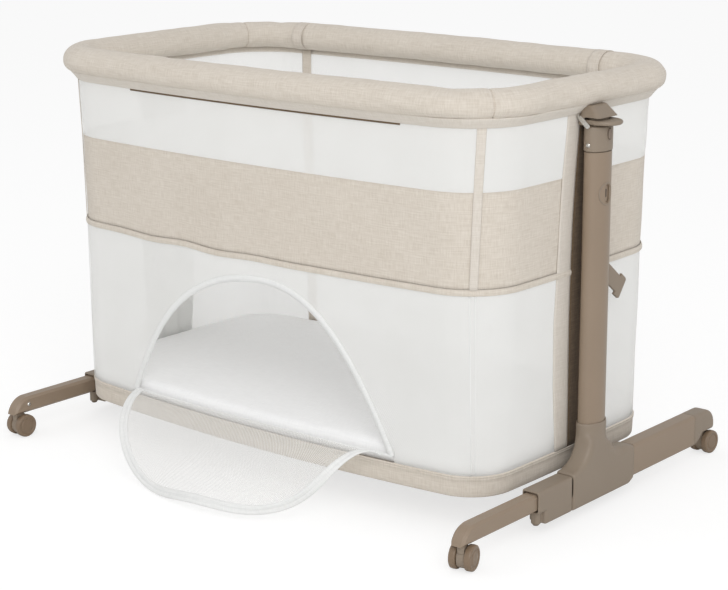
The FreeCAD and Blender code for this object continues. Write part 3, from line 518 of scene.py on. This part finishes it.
def plan(turn, grow, corner, bow):
    """Point and outward direction of the plan at `turn`, in turns from the middle of the +X end.

    A quarter is three tangent arcs: an end of radius (W^2 + e^2) / 2e, a corner, and a side of radius
    (L^2 + b^2) / 2b. The other quarters mirror it.
    """
    length, width = HALF_LENGTH + grow, HALF_WIDTH + grow
    side = (length ** 2 + bow ** 2) / (2 * bow)
    end = (width ** 2 + END_BOW ** 2) / (2 * END_BOW)
    side_y, end_x = width - side, length - end
    gap = np.hypot(end_x, side_y)
    along = ((side - corner) ** 2 - (end - corner) ** 2 + gap ** 2) / (2 * gap)
    across = np.sqrt((side - corner) ** 2 - along ** 2)
    corner_x = (end_x * along - side_y * across) / gap
    corner_y = side_y - (side_y * along + end_x * across) / gap
    a = np.arctan2(corner_y, corner_x - end_x)
    b = np.arctan2(corner_y - side_y, corner_x)
    quarter = np.floor(turn * 4) % 4
    part = turn * 4 - np.floor(turn * 4)
    part = np.where(quarter % 2 == 1, 1 - part, part)
    first, second = END_SHARE, END_SHARE + CORNER_SHARE
    angle = np.where(part < first, a * part / first, np.where(
        part < second, a + (b - a) * (part - first) / CORNER_SHARE,
        b + (np.pi / 2 - b) * (part - second) / (1 - second)))
    centre_x = np.where(part < first, end_x, np.where(part < second, corner_x, 0))
    centre_y = np.where(part < first, 0, np.where(part < second, corner_y, side_y))
    radius = np.where(part < first, end, np.where(part < second, corner, side))
    sign_x = np.where((quarter == 1) | (quarter == 2), -1, 1)
    sign_y = np.where(quarter >= 2, -1, 1)
    point = np.stack([sign_x * (centre_x + radius * np.cos(angle)),
                      sign_y * (centre_y + radius * np.sin(angle))], -1)
    return point, np.stack([sign_x * np.cos(angle), sign_y * np.sin(angle)], -1)


def wall(turn, height, out=0.0):
    """Point of the cloth wall at a turn and height, moved out along its plan's direction."""
    turn, height, out = np.broadcast_arrays(turn, height, out)
    grow, corner, bow = (np.interp(height, SEAMS[:, 0], SEAMS[:, k]) for k in (1, 2, 3))
    point, facing = plan(turn, grow, corner, bow)
    return np.concatenate([point + facing * out[..., None], height[..., None]], -1)


def ripple(turn, height, lengths, seed):
    """Smooth field of about -1 to 1: a sum of sines that close after a turn, with seeded phases."""
    noise = np.random.default_rng(seed)
    total = 0.0
    for waves, rise in lengths:
        phase, lean = noise.uniform(0, 2 * np.pi, 2)
        total = total + np.sin(2 * np.pi * (waves * turn + rise * height) + phase + np.sin(
            2 * np.pi * (waves // 3 + 1) * turn + lean))
    return total / len(lengths)


def turn_at(axis, value, height, low, high):
    """Turn between two turns at which the wall at a height reaches a value of x (axis 0) or y (1)."""
    turns = np.linspace(low, high, 2001)
    reached = wall(turns, height)[:, axis]
    order = np.argsort(reached)
    return np.interp(value, reached[order], turns[order])


def weave(tree, place, pitch_u, pitch_v):
    """Product of two sine waves along the UV axes, with pitches in metres."""
    axes = add(tree, "ShaderNodeSeparateXYZ", {"Vector": place})
    return compute(tree, "MULTIPLY", *[
        compute(tree, "SINE", compute(tree, "MULTIPLY", axes.outputs[axis], 2 * math.pi / pitch))
        for axis, pitch in (("X", pitch_u), ("Y", pitch_v))])


def linen(name, light, dark, pitch=0.0016):
    """Melange plain weave: long flecks along both thread directions, over crossing threads.

    The threads are drawn about twice as coarse as the real 0.8 mm, so that they show.
    """
    material, tree = blank(name)
    place = add(tree, "ShaderNodeTexCoord").outputs["UV"]
    fleck = compute(tree, "ADD", *[
        noise(tree, add(tree, "ShaderNodeMapping", {"Vector": place, "Scale": stretch}), 1.0, 3.0)
        for stretch in ((38.0, 520.0, 1.0), (620.0, 60.0, 1.0))])
    both = compute(tree, "MULTIPLY_ADD", noise(tree, place, 7.0, 2.0), 0.35, fleck)
    share = add(tree, "ShaderNodeMapRange", {"Value": both, "From Min": 0.85, "From Max": 1.5})
    height = compute(tree, "MULTIPLY_ADD", weave(tree, place, pitch, pitch), 0.35, fleck)
    return surfaced(material, add(tree, "ShaderNodeBsdfPrincipled", {
        "Base Color": tinted(tree, share, dark, light), "Roughness": spread(tree, fleck, 0.8, 0.95),
        "Normal": bumps(tree, height, 0.35, 0.0004), "Sheen Weight": 0.12, "Sheen Roughness": 0.5,
        "Specular IOR Level": 0.25}))


beige_linen = linen("beige_melange_linen", "DFD7CC", "CDC3B6")
dress(bare_steel, "rail_tube")
PAD_WIDTH, PAD_RISE, PAD_DROP = 0.0283, 0.0258, 0.0205
SEAM_TURNS = (0.9163, 0.4225)


def rail_point(turn, angle, out=0.0):
    """Point of the pad, moved out: a half ellipse above the rail's centre line, a flatter one below."""
    turn, angle, out = np.broadcast_arrays(turn, angle, out)
    centre, facing = plan(turn, 0.0, RAIL_CORNER, RAIL_BOW)
    cosine, sine = np.cos(angle), np.sin(angle)
    width = cosine * (PAD_WIDTH + out)
    height = sine * (np.where(sine > 0, PAD_RISE, PAD_DROP) + out)
    return np.concatenate([centre + facing * width[..., None], (RAIL_Z + height)[..., None]], -1)


def settled(points, pinned, cap):
    """Closed grid after a cloth simulation with inner pressure, in cloth 1% too large for it.

    The rows in `pinned` are sewn down. The move is smoothed once and held to `cap` metres.
    """
    piece = skin("cloth_at_rest", points, (True, True))
    rows, columns = points.shape[:2]
    held = piece.vertex_groups.new(name="sewn")
    held.add([row * columns + column for row in pinned for column in range(columns)], 1.0, "REPLACE")
    cloth = piece.modifiers.new("cloth", "CLOTH")
    cloth.settings.quality = 6
    cloth.settings.use_pressure = True
    cloth.settings.uniform_pressure_force = 4.0
    cloth.settings.shrink_min = -0.01
    cloth.settings.vertex_group_mass = "sewn"
    cloth.settings.effector_weights.gravity = 0.0
    for step in range(1, 21):
        scene.frame_set(step)
    moved = points_of(applied(piece)).reshape(points.shape) - points
    scene.frame_set(1)
    beside = [np.roll(moved, shift, axis) for axis in (0, 1) for shift in (1, -1)]
    moved = (2 * moved + beside[0] + beside[1] + beside[2] + beside[3]) / 6
    size = np.linalg.norm(moved, axis=2, keepdims=True)
    return points + moved * np.minimum(1, cap / np.maximum(size, 1e-9))


def resampled(field, rows, columns):
    """Vectors of a closed grid at fractional rows and columns, blended linearly between its points."""
    row, column = np.floor(rows).astype(int), np.floor(columns).astype(int)
    down, right = (rows - row)[..., None], (columns - column)[..., None]
    a, b = ((1 - right) * field[r % field.shape[0], column % field.shape[1]]
            + right * field[r % field.shape[0], (column + 1) % field.shape[1]] for r in (row, row + 1))
    return (1 - down) * a + down * b


def round_rail(columns, around):
    """Grids of the turn and the angle round the pad, for given columns and a count around it."""
    return np.meshgrid(columns, np.arange(around) / around * 2 * np.pi, indexing="ij")


COARSE, ROUND, CREASE_CAP = 420, 28, 0.0016
GIRTH_MM, HEM_SEAM_AT = 2600, 310
SOFTNESS, GROOVE_DEPTH, DIP_DEPTH, PUCKER, HEM_DEPTH = 0.0007, 0.0018, 0.001, 0.0005, 0.0014
plain = rail_point(*round_rail(np.arange(COARSE) / COARSE, ROUND))
creases = settled(plain, [round(at * COARSE) for at in SEAM_TURNS], CREASE_CAP) - plain
fine = np.concatenate([at + 0.0001 * np.arange(-18, 19) for at in SEAM_TURNS])
columns = np.unique(np.round(np.concatenate([np.arange(900) / 900, fine]), 5))
turn, angle = round_rail(columns, 84)
groove = sum(np.exp(-((turn - at) * GIRTH_MM / 0.8) ** 2) for at in SEAM_TURNS)
dip = sum(np.exp(-((turn - at) * GIRTH_MM / 5.0) ** 2) for at in SEAM_TURNS)
pucker = sum(np.exp(-np.abs(turn - at) * GIRTH_MM / 7.0) for at in SEAM_TURNS) * np.sin(angle * 20)
hem_seam = np.exp(-((angle - np.radians(HEM_SEAM_AT)) / 0.05) ** 2)
soft = SOFTNESS * ripple(turn, np.sin(angle), ((7, 0.4), (13, 0.7), (23, 0.9), (41, 1.3)), 3)
outward = soft - GROOVE_DEPTH * groove - DIP_DEPTH * dip + PUCKER * pucker - HEM_DEPTH * hem_seam
moved = resampled(creases, turn * COARSE, angle / (2 * np.pi) * ROUND)
cover = skin("padded_rail_cover", rail_point(turn, angle, outward) + moved, (True, True))
place_piece(cover, "crib", "linen", [beige_linen], "rail_cover")


def band_ring(name, section, sag=None, span=None):
    """Open band round the plan, or over a span of it, with a section of (out, height).

    `sag` lowers it by a field of the turn.
    """
    turn = np.arange(1200) / 1200 if span is None else np.linspace(span[0], span[1], 600)
    points = wall(turn[:, None], section[None, :, 1], section[None, :, 0])
    if sag is not None:
        points[..., 2] += sag(turn)[:, None]
    return skin(name, points, (span is None, False))


# Brown of the zip tapes, darkened with painted shade: the posts and the hem shade the gaps where they
# lie.
dark_tape = linen("brown_zip_and_painted_shade", "76644F", "5C4C3C", 0.0018)
strip_linen = linen("pale_linen_strip", "E0D9D0", "D2CABF")
HEM_SECTION = np.array([
    (0.0124, 0.633), (0.0138, 0.6324), (0.0136, 0.6308), (0.0084, 0.625), (0.0048, 0.6206),
    (0.003, 0.618), (0.0016, 0.6168), (0.0, 0.6165), (-0.0013, 0.6174), (-0.001, 0.6192),
    (0.0058, 0.629)])
# The hem is the pad's own sleeve, given the paler strip linen: a lighter copy of its linen, painted
# light for the floor light that its slope catches.
hem = band_ring("rail_hem", HEM_SECTION)
place_piece(hem, "crib", "linen", [strip_linen])
# A dark zip line along the front under the hem; its darkness is partly painted shade of the gap between
# the hem and the mesh.
ZIP_SECTION = np.array([(0.0014, 0.6168), (0.0018, 0.6156), (0.0014, 0.614)])
rail_zip_and_gap_shade = band_ring("front_rail_zip_and_gap_shade", ZIP_SECTION, None, (0.652, 0.867))
place_piece(rail_zip_and_gap_shade, "crib", "dark_tape", [dark_tape])


# ---- Mesh walls, linen band and welt ----
# White warp-knit mesh above and below a linen band whose inside is white. The band's lower edge
# is sewn over the lower mesh with a soft folded welt, which sags in shallow waves on the bed side.

def open_knit(name, light, shade, cover, pitch):
    """Open mesh: rows of staggered round holes of a pitch in metres, between threads that scatter light.

    `cover` is the mean share of thread. The holes are about twice as coarse as the real 1.2 mm.
    """
    material, tree = blank(name)
    place = add(tree, "ShaderNodeTexCoord").outputs["UV"]
    holes = weave(tree, place, pitch, pitch * 0.8)
    opacity = add(tree, "ShaderNodeMapRange", {
        "Value": holes, "From Min": -0.6, "From Max": 0.6, "To Min": max(0.0, 2 * cover - 1.0)})
    patch = noise(tree, place, 14.0, 2.0)
    tint = tinted(tree, patch, light, shade)
    thread = add(tree, "ShaderNodeBsdfPrincipled", {
        "Base Color": tint, "Roughness": spread(tree, patch, 0.55, 0.7),
        "Normal": bumps(tree, holes, 0.2, 0.0003), "Specular IOR Level": 0.2})
    glow = add(tree, "ShaderNodeBsdfTranslucent", {"Color": tint})
    cloth = add(tree, "ShaderNodeMixShader", {0: 0.46, 1: thread, 2: glow})
    clear = add(tree, "ShaderNodeBsdfTransparent", {"Color": WHITE})
    return surfaced(material, add(tree, "ShaderNodeMixShader", {0: opacity, 1: clear, 2: cloth}))


def welt_sag(turn):
    """Waves of the band's lower seam on the bed side, where the open door slackens the wall."""
    x = wall(turn, WELT)[..., 0]
    near = (turn > 0.5) & (turn < 1.0)
    slack = np.exp(-((x + 0.13) / 0.16) ** 2) * near
    return slack * (0.0022 * np.sin(2 * np.pi * x / 0.17 + 0.6) - 0.001)


SEWN_IN, BREATH = -0.0008, 0.0012
wall_mesh = open_knit("white_warp_knit_mesh", "FBFBFA", "F4F4F2", 0.83, 0.0026)
lining = linen("white_band_lining", "F9F9F8", "F0F0EE", 0.0014)


def wall_sheet(name, low, high, rows, seed, low_sag=None):
    """Cloth wall between two heights: held at both seams, it breathes in and out between them."""
    turn, share = np.meshgrid(np.arange(900) / 900, np.linspace(0, 1, rows), indexing="ij")
    slack = BREATH * np.sin(np.pi * share)
    out = SEWN_IN + slack * ripple(turn, share, ((5, 0.3), (9, 0.8), (17, 0.5)), seed)
    points = wall(turn, low + (high - low) * share, out)
    if low_sag is not None:
        points[..., 2] += low_sag(turn) * (1 - share) ** 2
    return skin(name, points, (True, False))


upper = wall_sheet("upper_mesh_wall", BAND_TOP, HEM + 0.002, 10, 5)
place_piece(upper, "crib", "white_mesh", [wall_mesh], "upper_mesh")

band = wall_sheet("linen_band_wall", WELT - 0.002, BAND_TOP, 16, 8, welt_sag)
place_piece(band, "crib", "linen", [beige_linen, lining], "linen_band")
shell = band.modifiers.new("two_layers", "SOLIDIFY")
shell.thickness, shell.offset, shell.material_offset = 0.0018, -1.0, 1
shell.use_rim = True

WELT_SECTION = np.array([
    (0.0004, 0.3786), (0.0014, 0.3782), (0.0012, 0.3774), (0.002, 0.3769), (0.0028, 0.375),
    (0.0029, 0.3726), (0.0022, 0.3708), (0.0026, 0.3701), (0.0022, 0.3695), (0.0006, 0.3697),
    (0.0, 0.3716)])
END_TURN = 0.0613
WELT_END = float(turn_at(1, 0.026, WELT, 0.0, END_TURN))
for name, first in (("folded_welt_rear", 0.0), ("folded_welt_front", 0.5)):
    welt = band_ring(name, WELT_SECTION, welt_sag, (first + WELT_END, first + 0.5 - WELT_END))
    place_piece(welt, "crib", "linen", [beige_linen])
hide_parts("band_welt")


# ---- Lower mesh with the arched door ----
# The same mesh down to the tray. The door opening is an arch on the bed side, edged with a white
# binding of two corded rows, and its sill is a flat tape.

SILL, DOOR_HALF, DOOR_RISE, DOOR_POWER = 0.105, 0.277, 0.243, 2.7
SAG_DEPTH, SAG_X, SAG_WIDTH = 0.015, -0.115, 0.1
CORNER_TURN, LOWER_GIRTH, DOOR_MIDDLE = 0.25 * 0.455, 2.52, 0.2
FRONT_LEFT, FRONT_RIGHT = 0.5 + CORNER_TURN, 1.0 - CORNER_TURN


def arch(x):
    """Height of the arch at x: rise * (1 - |x / half width| ^ power) above the sill, 0 beyond its feet.

    A bell curve lowers its left shoulder by SAG_DEPTH, where the slack wall sags.
    """
    share = np.clip(np.abs(x) / DOOR_HALF, 0, 1)
    sag = SAG_DEPTH * np.exp(-((x - SAG_X) / SAG_WIDTH) ** 2) * (1 - share ** 8)
    return SILL + DOOR_RISE * (1 - share ** DOOR_POWER) - sag


def front_turn(x, height=DOOR_MIDDLE):
    """Turn of the bed side's wall at x."""
    return turn_at(0, x, height, FRONT_LEFT, FRONT_RIGHT)


door_turns = front_turn(DOOR_HALF * np.sin(np.radians(np.arange(-90, 90.1, 1.5))))
jambs = np.sort(np.concatenate([door_turns, np.linspace(0, 1, 700, endpoint=False)]))
jambs = jambs[np.concatenate([[True], np.diff(jambs) > 2e-5])]
x_of = wall(jambs, DOOR_MIDDLE)[:, 0]
in_door = (jambs > FRONT_LEFT) & (jambs < FRONT_RIGHT) & (np.abs(x_of) < DOOR_HALF)
bottom = np.where(in_door, arch(x_of), BASE_TOP - 0.001)
share = np.linspace(0, 1, 26)
height = bottom[:, None] + (WELT - 0.001 - bottom[:, None]) * share
turn = jambs[:, None] + 0 * height
out = SEWN_IN + BREATH * np.sin(np.pi * share) * ripple(turn, height, ((5, 3), (9, 5), (17, 2)), 4)
points = wall(turn, height, out)
points[..., 2] += welt_sag(turn) * share ** 3
metres = np.stack([np.concatenate([jambs, [1.0]])[:, None] * LOWER_GIRTH + 0 * share,
                   np.concatenate([height, height[:1]], 0)], -1)
lower = skin("lower_mesh_wall", points, (True, False), metres)
place_piece(lower, "crib", "white_mesh", [wall_mesh], "lower_mesh")

white_tape = linen("white_binding_tape", "F2F2F1", "E6E7E6", 0.002)


def unit(vectors):
    """Rows of vectors divided by their lengths."""
    return vectors / np.linalg.norm(vectors, axis=1)[:, None]


def tape_along(name, middle, side, section):
    """Tape swept along points: `side` is the direction of +u at each, and the section lists (u, out)."""
    out = unit(np.cross(unit(np.gradient(middle, axis=0)), side))
    points = middle[:, None] + side[:, None] * section[None, :, :1] + out[:, None] * section[None, :, 1:]
    return skin(name, points, (False, True))


CORDED = np.array([
    (0.0, 0.0), (0.0012, 0.0018), (0.0032, 0.0022), (0.0048, 0.001), (0.0058, 0.0008), (0.0072, 0.002),
    (0.0094, 0.0018), (0.0108, 0.0002), (0.0104, -0.0012), (0.001, -0.0012)])
swing = np.radians(np.linspace(-89.8, 89.8, 181))
edge_x = DOOR_HALF * np.sin(swing)
edge = wall(front_turn(edge_x), arch(edge_x), 0.0004)
outdoors = np.array([0.0, -1.0, 0.0])
inward = unit(np.cross(unit(np.gradient(edge, axis=0)), outdoors))
inward *= np.sign((np.array([0, 0, 0.15]) - edge)[:, 2:] * inward[:, 2:] - edge[:, :1] * inward[:, :1])
binding = tape_along("arch_binding", edge - inward * 0.0008, inward, CORDED)
place_piece(binding, "crib", "white_tape", [white_tape], "door_binding")
SILL_SECTION = np.array([
    (0.0004, 0.1008), (0.001, 0.1014), (0.0013, 0.1032), (0.0011, 0.105), (0.0004, 0.1056)])
sill_span = (front_turn(-DOOR_HALF, 0.104), front_turn(DOOR_HALF, 0.104))
sill = band_ring("door_sill_tape", SILL_SECTION, None, sill_span)
place_piece(sill, "crib", "white_tape", [white_tape])


# ---- Open door ----
# The unzipped mesh panel hangs out over the tray from its sill tape. A stiff white binding holds
# its round edge in a bow, so the right side stays high and the middle droops to the floor.

HINGE_Y, HINGE_Z = -0.2589, 0.1061
FLAP_HALF, FLAP_LENGTH, FLAP_POWER = 0.2639, 0.1893, 3.28
START_SLOPE, SLOPE_GROWTH = (-0.0191, -0.1431, -0.3843, -0.2136), (1.1456, -0.0703, 2.3657, 2.4604)


def flap_point(x, reach):
    """Point of the flap at x, `reach` metres from the hinge along the cloth.

    The slope starts at a(x) and grows by b(x) over the flap's length, both cubics in x / half width.
    """
    x, reach = np.broadcast_arrays(x, reach)
    u = x / 0.265
    start, grow = (a + b * u + c * u ** 2 + d * u ** 3 for a, b, c, d in (START_SLOPE, SLOPE_GROWTH))
    steps = (np.arange(24) + 0.5) / 24
    slope = start[..., None] + grow[..., None] * steps * (reach / FLAP_LENGTH)[..., None]
    y, z = HINGE_Y - reach * np.cos(slope).mean(-1), HINGE_Z - reach * np.sin(slope).mean(-1)
    return np.stack([x, y, z], -1)


def flap_edge(swing, trim):
    """(x, reach) of the flap's outline, moved in by a trim, for an angle of -90 to 90 degrees."""
    x = (FLAP_HALF - trim) * np.sin(swing)
    return x, (FLAP_LENGTH - trim) * (1 - np.abs(np.sin(swing)) ** FLAP_POWER)


# The door's mesh is a paler copy of the wall mesh: painted light, where the panel lies out over the
# floor.
flap_mesh = open_knit("white_door_mesh_painted_light", "FEFEFD", "FAFAF9", 0.3, 0.003)
swing = np.radians(np.linspace(-89, 89, 161))
x, reach = flap_edge(swing, 0.006)
share = np.linspace(0, 1, 40)
points = flap_point(x[:, None] + 0 * share, reach[:, None] * share)
slack = BREATH * np.sin(np.pi * share)
points[..., 2] += slack * ripple(swing[:, None] / 3, share, ((5, 1.0), (9, 2.0)), 6)
panel = skin("door_panel", points, (False, False))
place_piece(panel, "door_flap", "white_mesh", [flap_mesh], "flap_mesh")

TAPE = np.array([
    (0.0, 0.0003), (0.0006, 0.0014), (0.0034, 0.0018), (0.007, 0.0012), (0.0078, 0.0006),
    (0.0086, 0.0012), (0.012, 0.0016), (0.015, 0.0012), (0.0158, 0.0), (0.015, -0.001),
    (0.002, -0.0012), (0.0004, -0.0008)])
swing = np.radians(np.linspace(-90, 90, 241))
middle = flap_point(*flap_edge(swing, 0.0))
side = unit(flap_point(*flap_edge(swing, 0.01)) - middle)
flap_tape = tape_along("door_panel_binding", middle, side, TAPE)
place_piece(flap_tape, "door_flap", "white_tape", [white_tape], "flap_binding")


# ---- Linen strips, zip tapes and strap loops ----
# Linen strips cover the seams beside each post and at the two bed-side corners; white ones go on
# down the lower mesh. Behind each post a zip tape closes the sleeve; its dark brown is partly
# painted shade from the post. Two flat webbing loops hang the walls from the rail at the back, each
# with a strip down the inside.

def strip_on_wall(name, turns, low, high, out, rows, bow=0.0004):
    """Flat strip on the wall between two turns, each fixed or given at every row, domed by `bow`."""
    across, up = np.meshgrid(np.linspace(0, 1, 9), np.linspace(0, 1, rows), indexing="ij")
    height = low + (high - low) * up
    first, last = (np.broadcast_to(turn, rows)[None, :] for turn in turns)
    turn = first + (last - first) * across
    points = wall(turn, height, out + bow * np.sin(np.pi * across) ** 0.5)
    return skin(name, points, (False, False))


def thicken(piece, thickness):
    """Give a strip its thickness inward."""
    layer = piece.modifiers.new("thickness", "SOLIDIFY")
    layer.thickness, layer.offset = thickness, -1.0
    return piece


webbing = linen("beige_webbing", "DDD5CB", "CBC1B4", 0.0022)
STRIP_TOP, STRIP_OUT, STRIP_THICK, POST_ROWS, CORNER_ROWS = 0.6175, 0.0011, 0.0009, 60, 30
rows = np.linspace(BASE_TOP, STRIP_TOP, POST_ROWS)
outer_y = np.interp(rows, (BASE_TOP, 0.2, 0.3, WELT, 0.45, BAND_TOP, 0.6),
                    (0.05, 0.061, 0.0655, 0.0625, 0.0607, 0.0575, 0.053))
inner_y = np.interp(rows, (BASE_TOP, 0.3, WELT, 0.45, 0.6), (0.016, 0.025, 0.026, 0.026, 0.02))
outer, inner = (np.array([turn_at(1, y, height, 0.0, END_TURN) for y, height in zip(edge, rows)])
                for edge in (outer_y, inner_y))
strips, tapes = [], []
for side, turn_0 in (("right", 0.0), ("left", 0.5)):
    for part, sign in (("front", -1), ("rear", 1)):
        edges = (turn_0 + sign * outer, turn_0 + sign * inner)
        strip = strip_on_wall("post_strip_%s_%s" % (part, side), edges[::-sign], BASE_TOP, STRIP_TOP,
                              STRIP_OUT, POST_ROWS)
        strips.append(thicken(strip, STRIP_THICK))
        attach(strip, "crib")
    # The zip tape behind each post: its dark brown is partly painted shade from the post.
    tape = strip_on_wall("painted_shade_zip_" + side, (turn_0 - inner, turn_0 + inner), BASE_TOP, STRIP_TOP,
                         0.0006, POST_ROWS, 0.0)
    tapes.append(thicken(tape, 0.001))
    tape.modifiers[0].material_offset = 1
    place_piece(tape, "crib", "dark_tape", [dark_tape, lining])
CORNER_SEAM, SEAM_LEAN, HALF_STRIP = 0.25 * 0.35, 0.004, 0.0024
corners = (("front_right", 1.0 - CORNER_SEAM, -1), ("front_left", 0.5 + CORNER_SEAM, 1))
for corner, middle_turn, sign in corners:
    rows = np.linspace(WELT, STRIP_TOP, CORNER_ROWS)
    middle = middle_turn + sign * np.interp(rows, (WELT, STRIP_TOP), (SEAM_LEAN, 0.0))
    strip = strip_on_wall("corner_strip_" + corner, (middle - HALF_STRIP, middle + HALF_STRIP), WELT,
                          STRIP_TOP, STRIP_OUT, CORNER_ROWS)
    strips.append(thicken(strip, STRIP_THICK))
    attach(strip, "crib")
for strip in strips:
    strip.data.materials.append(strip_linen)
    strip.data.materials.append(lining)
    strip.modifiers[0].material_offset = 1
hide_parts("linen_strips")
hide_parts("zip_tapes")
SEAM_SHIFT, HALF_GAP, HALF_SEAM = 0.0045, 0.0016, 0.0003
for corner, middle_turn, sign in corners:
    for row, offset in (("a", -HALF_GAP), ("b", HALF_GAP)):
        at = middle_turn + sign * SEAM_SHIFT + offset
        seam = strip_on_wall("lower_seam_%s_%s" % (corner, row), (at - HALF_SEAM, at + HALF_SEAM),
                             BASE_TOP, WELT - 0.006, 0.0002, CORNER_ROWS)
        place_piece(thicken(seam, 0.0006), "crib", "white_tape", [white_tape])

# A small slider and a 26 mm tag; the tag leans out beside the post's head, facing the front corner.
SLIDER = (
    (-0.003, -0.0035), (0.003, -0.0035), (0.0034, 0.001), (0.0018, 0.004), (-0.0018, 0.004),
    (-0.0034, 0.001))
TAG = (
    (-0.002, 0.0), (0.002, 0.0), (0.0034, 0.006), (0.0034, 0.0235), (0.0018, 0.026), (-0.0018, 0.026),
    (-0.0034, 0.0235), (-0.0034, 0.006))
for side, sign in SIDES:
    top, tip = Vector((sign * 0.4545, -0.03, 0.615)), Vector((sign * 0.4745, -0.0305, 0.5975))
    for part, outline, down, face, thick in (
            ("slider", SLIDER, Vector((0, 0, -1)), Vector((sign, 0, 0)), 0.003),
            ("tag", TAG, tip - top, Vector((sign * 0.5, -0.8, 0.2)), 0.0011)):
        down.normalize()
        across = down.cross(face).normalized()
        corners = [top + across * u + down * v + face * w for w in (0.0, thick) for u, v in outline]
        piece = put_mesh("zip_%s_%s" % (part, side), corners, prism(len(outline)))
        soft_edge = piece.modifiers.new("worn_edges", "BEVEL")
        soft_edge.width, soft_edge.segments = 0.0004, 2
        place_piece(piece, "crib", "bright_metal", [plated_steel])
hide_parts("zip_pulls")

LOOP_WIDTH, DROP_WIDTH, WEBBING_THICK, WEBBING_OUT = 0.0044, 0.0038, 0.0008, 0.0017
DROP_LOW, DROP_HIGH, DROP_INSIDE = BASE_TOP + 0.02, 0.625, -0.0036
for side, sign, middle_turn in (("right", 1, 0.1275), ("left", -1, 0.3785)):
    width = np.linspace(-LOOP_WIDTH, LOOP_WIDTH, 9)
    angle = np.linspace(0, 2 * np.pi, 64, endpoint=False)
    turn, round_it = np.meshgrid(middle_turn + width, angle, indexing="ij")
    stitches = np.exp(-((np.abs(width) - 0.0033) / 0.0005) ** 2)[:, None]
    points = rail_point(turn, round_it, WEBBING_OUT - 0.0006 * stitches)
    loop = skin("strap_loop_" + side, points, (False, True))
    place_piece(thicken(loop, WEBBING_THICK), "crib", "linen", [webbing])
    rows = np.linspace(DROP_LOW, DROP_HIGH, 40)
    drop_x = np.interp(rows, (0.11, DROP_HIGH), (sign * 0.304, sign * 0.33))
    middle = np.array([turn_at(0, x, z, END_TURN, 0.5 - END_TURN) for x, z in zip(drop_x, rows)])
    drop = strip_on_wall("strap_drop_" + side, (middle - DROP_WIDTH, middle + DROP_WIDTH), DROP_LOW,
                         DROP_HIGH, DROP_INSIDE, 40)
    place_piece(thicken(drop, WEBBING_THICK), "crib", "linen", [webbing])
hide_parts("rail_straps")


# ---- Base tray ----
# Linen sleeve over a steel frame, piped along its top edge by two corded rows. A cloth floor
# closes it below, and a thin board on the frame carries the mattress.

dress(bare_steel, "base_frame")
board, tree = blank("thin_fibre_board")
fibre = noise(tree, add(tree, "ShaderNodeTexCoord").outputs["Object"], 260.0, 4.0)
surfaced(board, add(tree, "ShaderNodeBsdfPrincipled", {
    "Base Color": tinted(tree, fibre, "C9A97A", "B3935F"), "Roughness": spread(tree, fibre, 0.6, 0.8)}))
dress(board, "base_board")

TRAY_SECTION = np.array([
    (-0.0022, 0.0925), (-0.001, 0.0931), (0.0008, 0.0929), (0.0014, 0.0918), (0.0012, 0.0902),
    (0.0003, 0.0894), (0.001, 0.0884), (0.0011, 0.0872), (0.0002, 0.0862), (0.0002, 0.08),
    (0.0004, 0.07), (0.0002, 0.062), (-0.001, 0.0597), (-0.004, 0.059), (-0.03, 0.059),
    (-0.064, 0.059)])
tray = band_ring("base_tray_cover", TRAY_SECTION)
place_piece(tray, "crib", "linen", [beige_linen], "base_cover")
ring = wall(np.arange(240) / 240, BASE_BOTTOM, -0.064)
share = np.linspace(1, 0, 12)[None, :, None]
floor_points = ring[:, None] * share + (ring * (0.6, 0.0, 1.0))[:, None] * (1 - share)
under = skin("base_tray_floor", floor_points, (True, False))
place_piece(under, "crib", "linen", [beige_linen])


# ---- Mattress ----
# White knitted cover on a thin foam core: a crowned slab with a rolled edge. Each row of its
# profile is a height and how far the edge is drawn in there.

knit = linen("white_mattress_knit", "FBFBFB", "F2F2F2", 0.0018)
MATTRESS = np.array([
    (0.0878, 0.016), (0.0885, 0.01), (0.092, 0.005), (0.099, 0.0038), (0.108, 0.0038), (0.114, 0.0052),
    (0.1182, 0.0088), (0.1204, 0.016), (0.1213, 0.032), (0.1216, 0.09)])
turn = (np.arange(480) / 480)[:, None]
height, inset = MATTRESS.T[:, None]
point = plan(turn, -0.0095 - inset, np.maximum(0.071 - inset / 2, 0.02), 0.03)[0]
side_rings = np.concatenate([point, height[..., None] + 0 * point[..., :1]], -1)
last = side_rings[:, -1:]
share = np.linspace(0, 1, 18)[None, 1:, None]
heart = last * (0.55, 0.0, 1.0)
top_rings = last * (1 - share) + heart * share
top_rings[..., 2] += 0.0012 * share[..., 0]
mattress = skin("mattress_pad", np.concatenate([side_rings, top_rings], 1), (True, False))
place_piece(mattress, "crib", "mattress_cover", [knit], "mattress")


low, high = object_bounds()
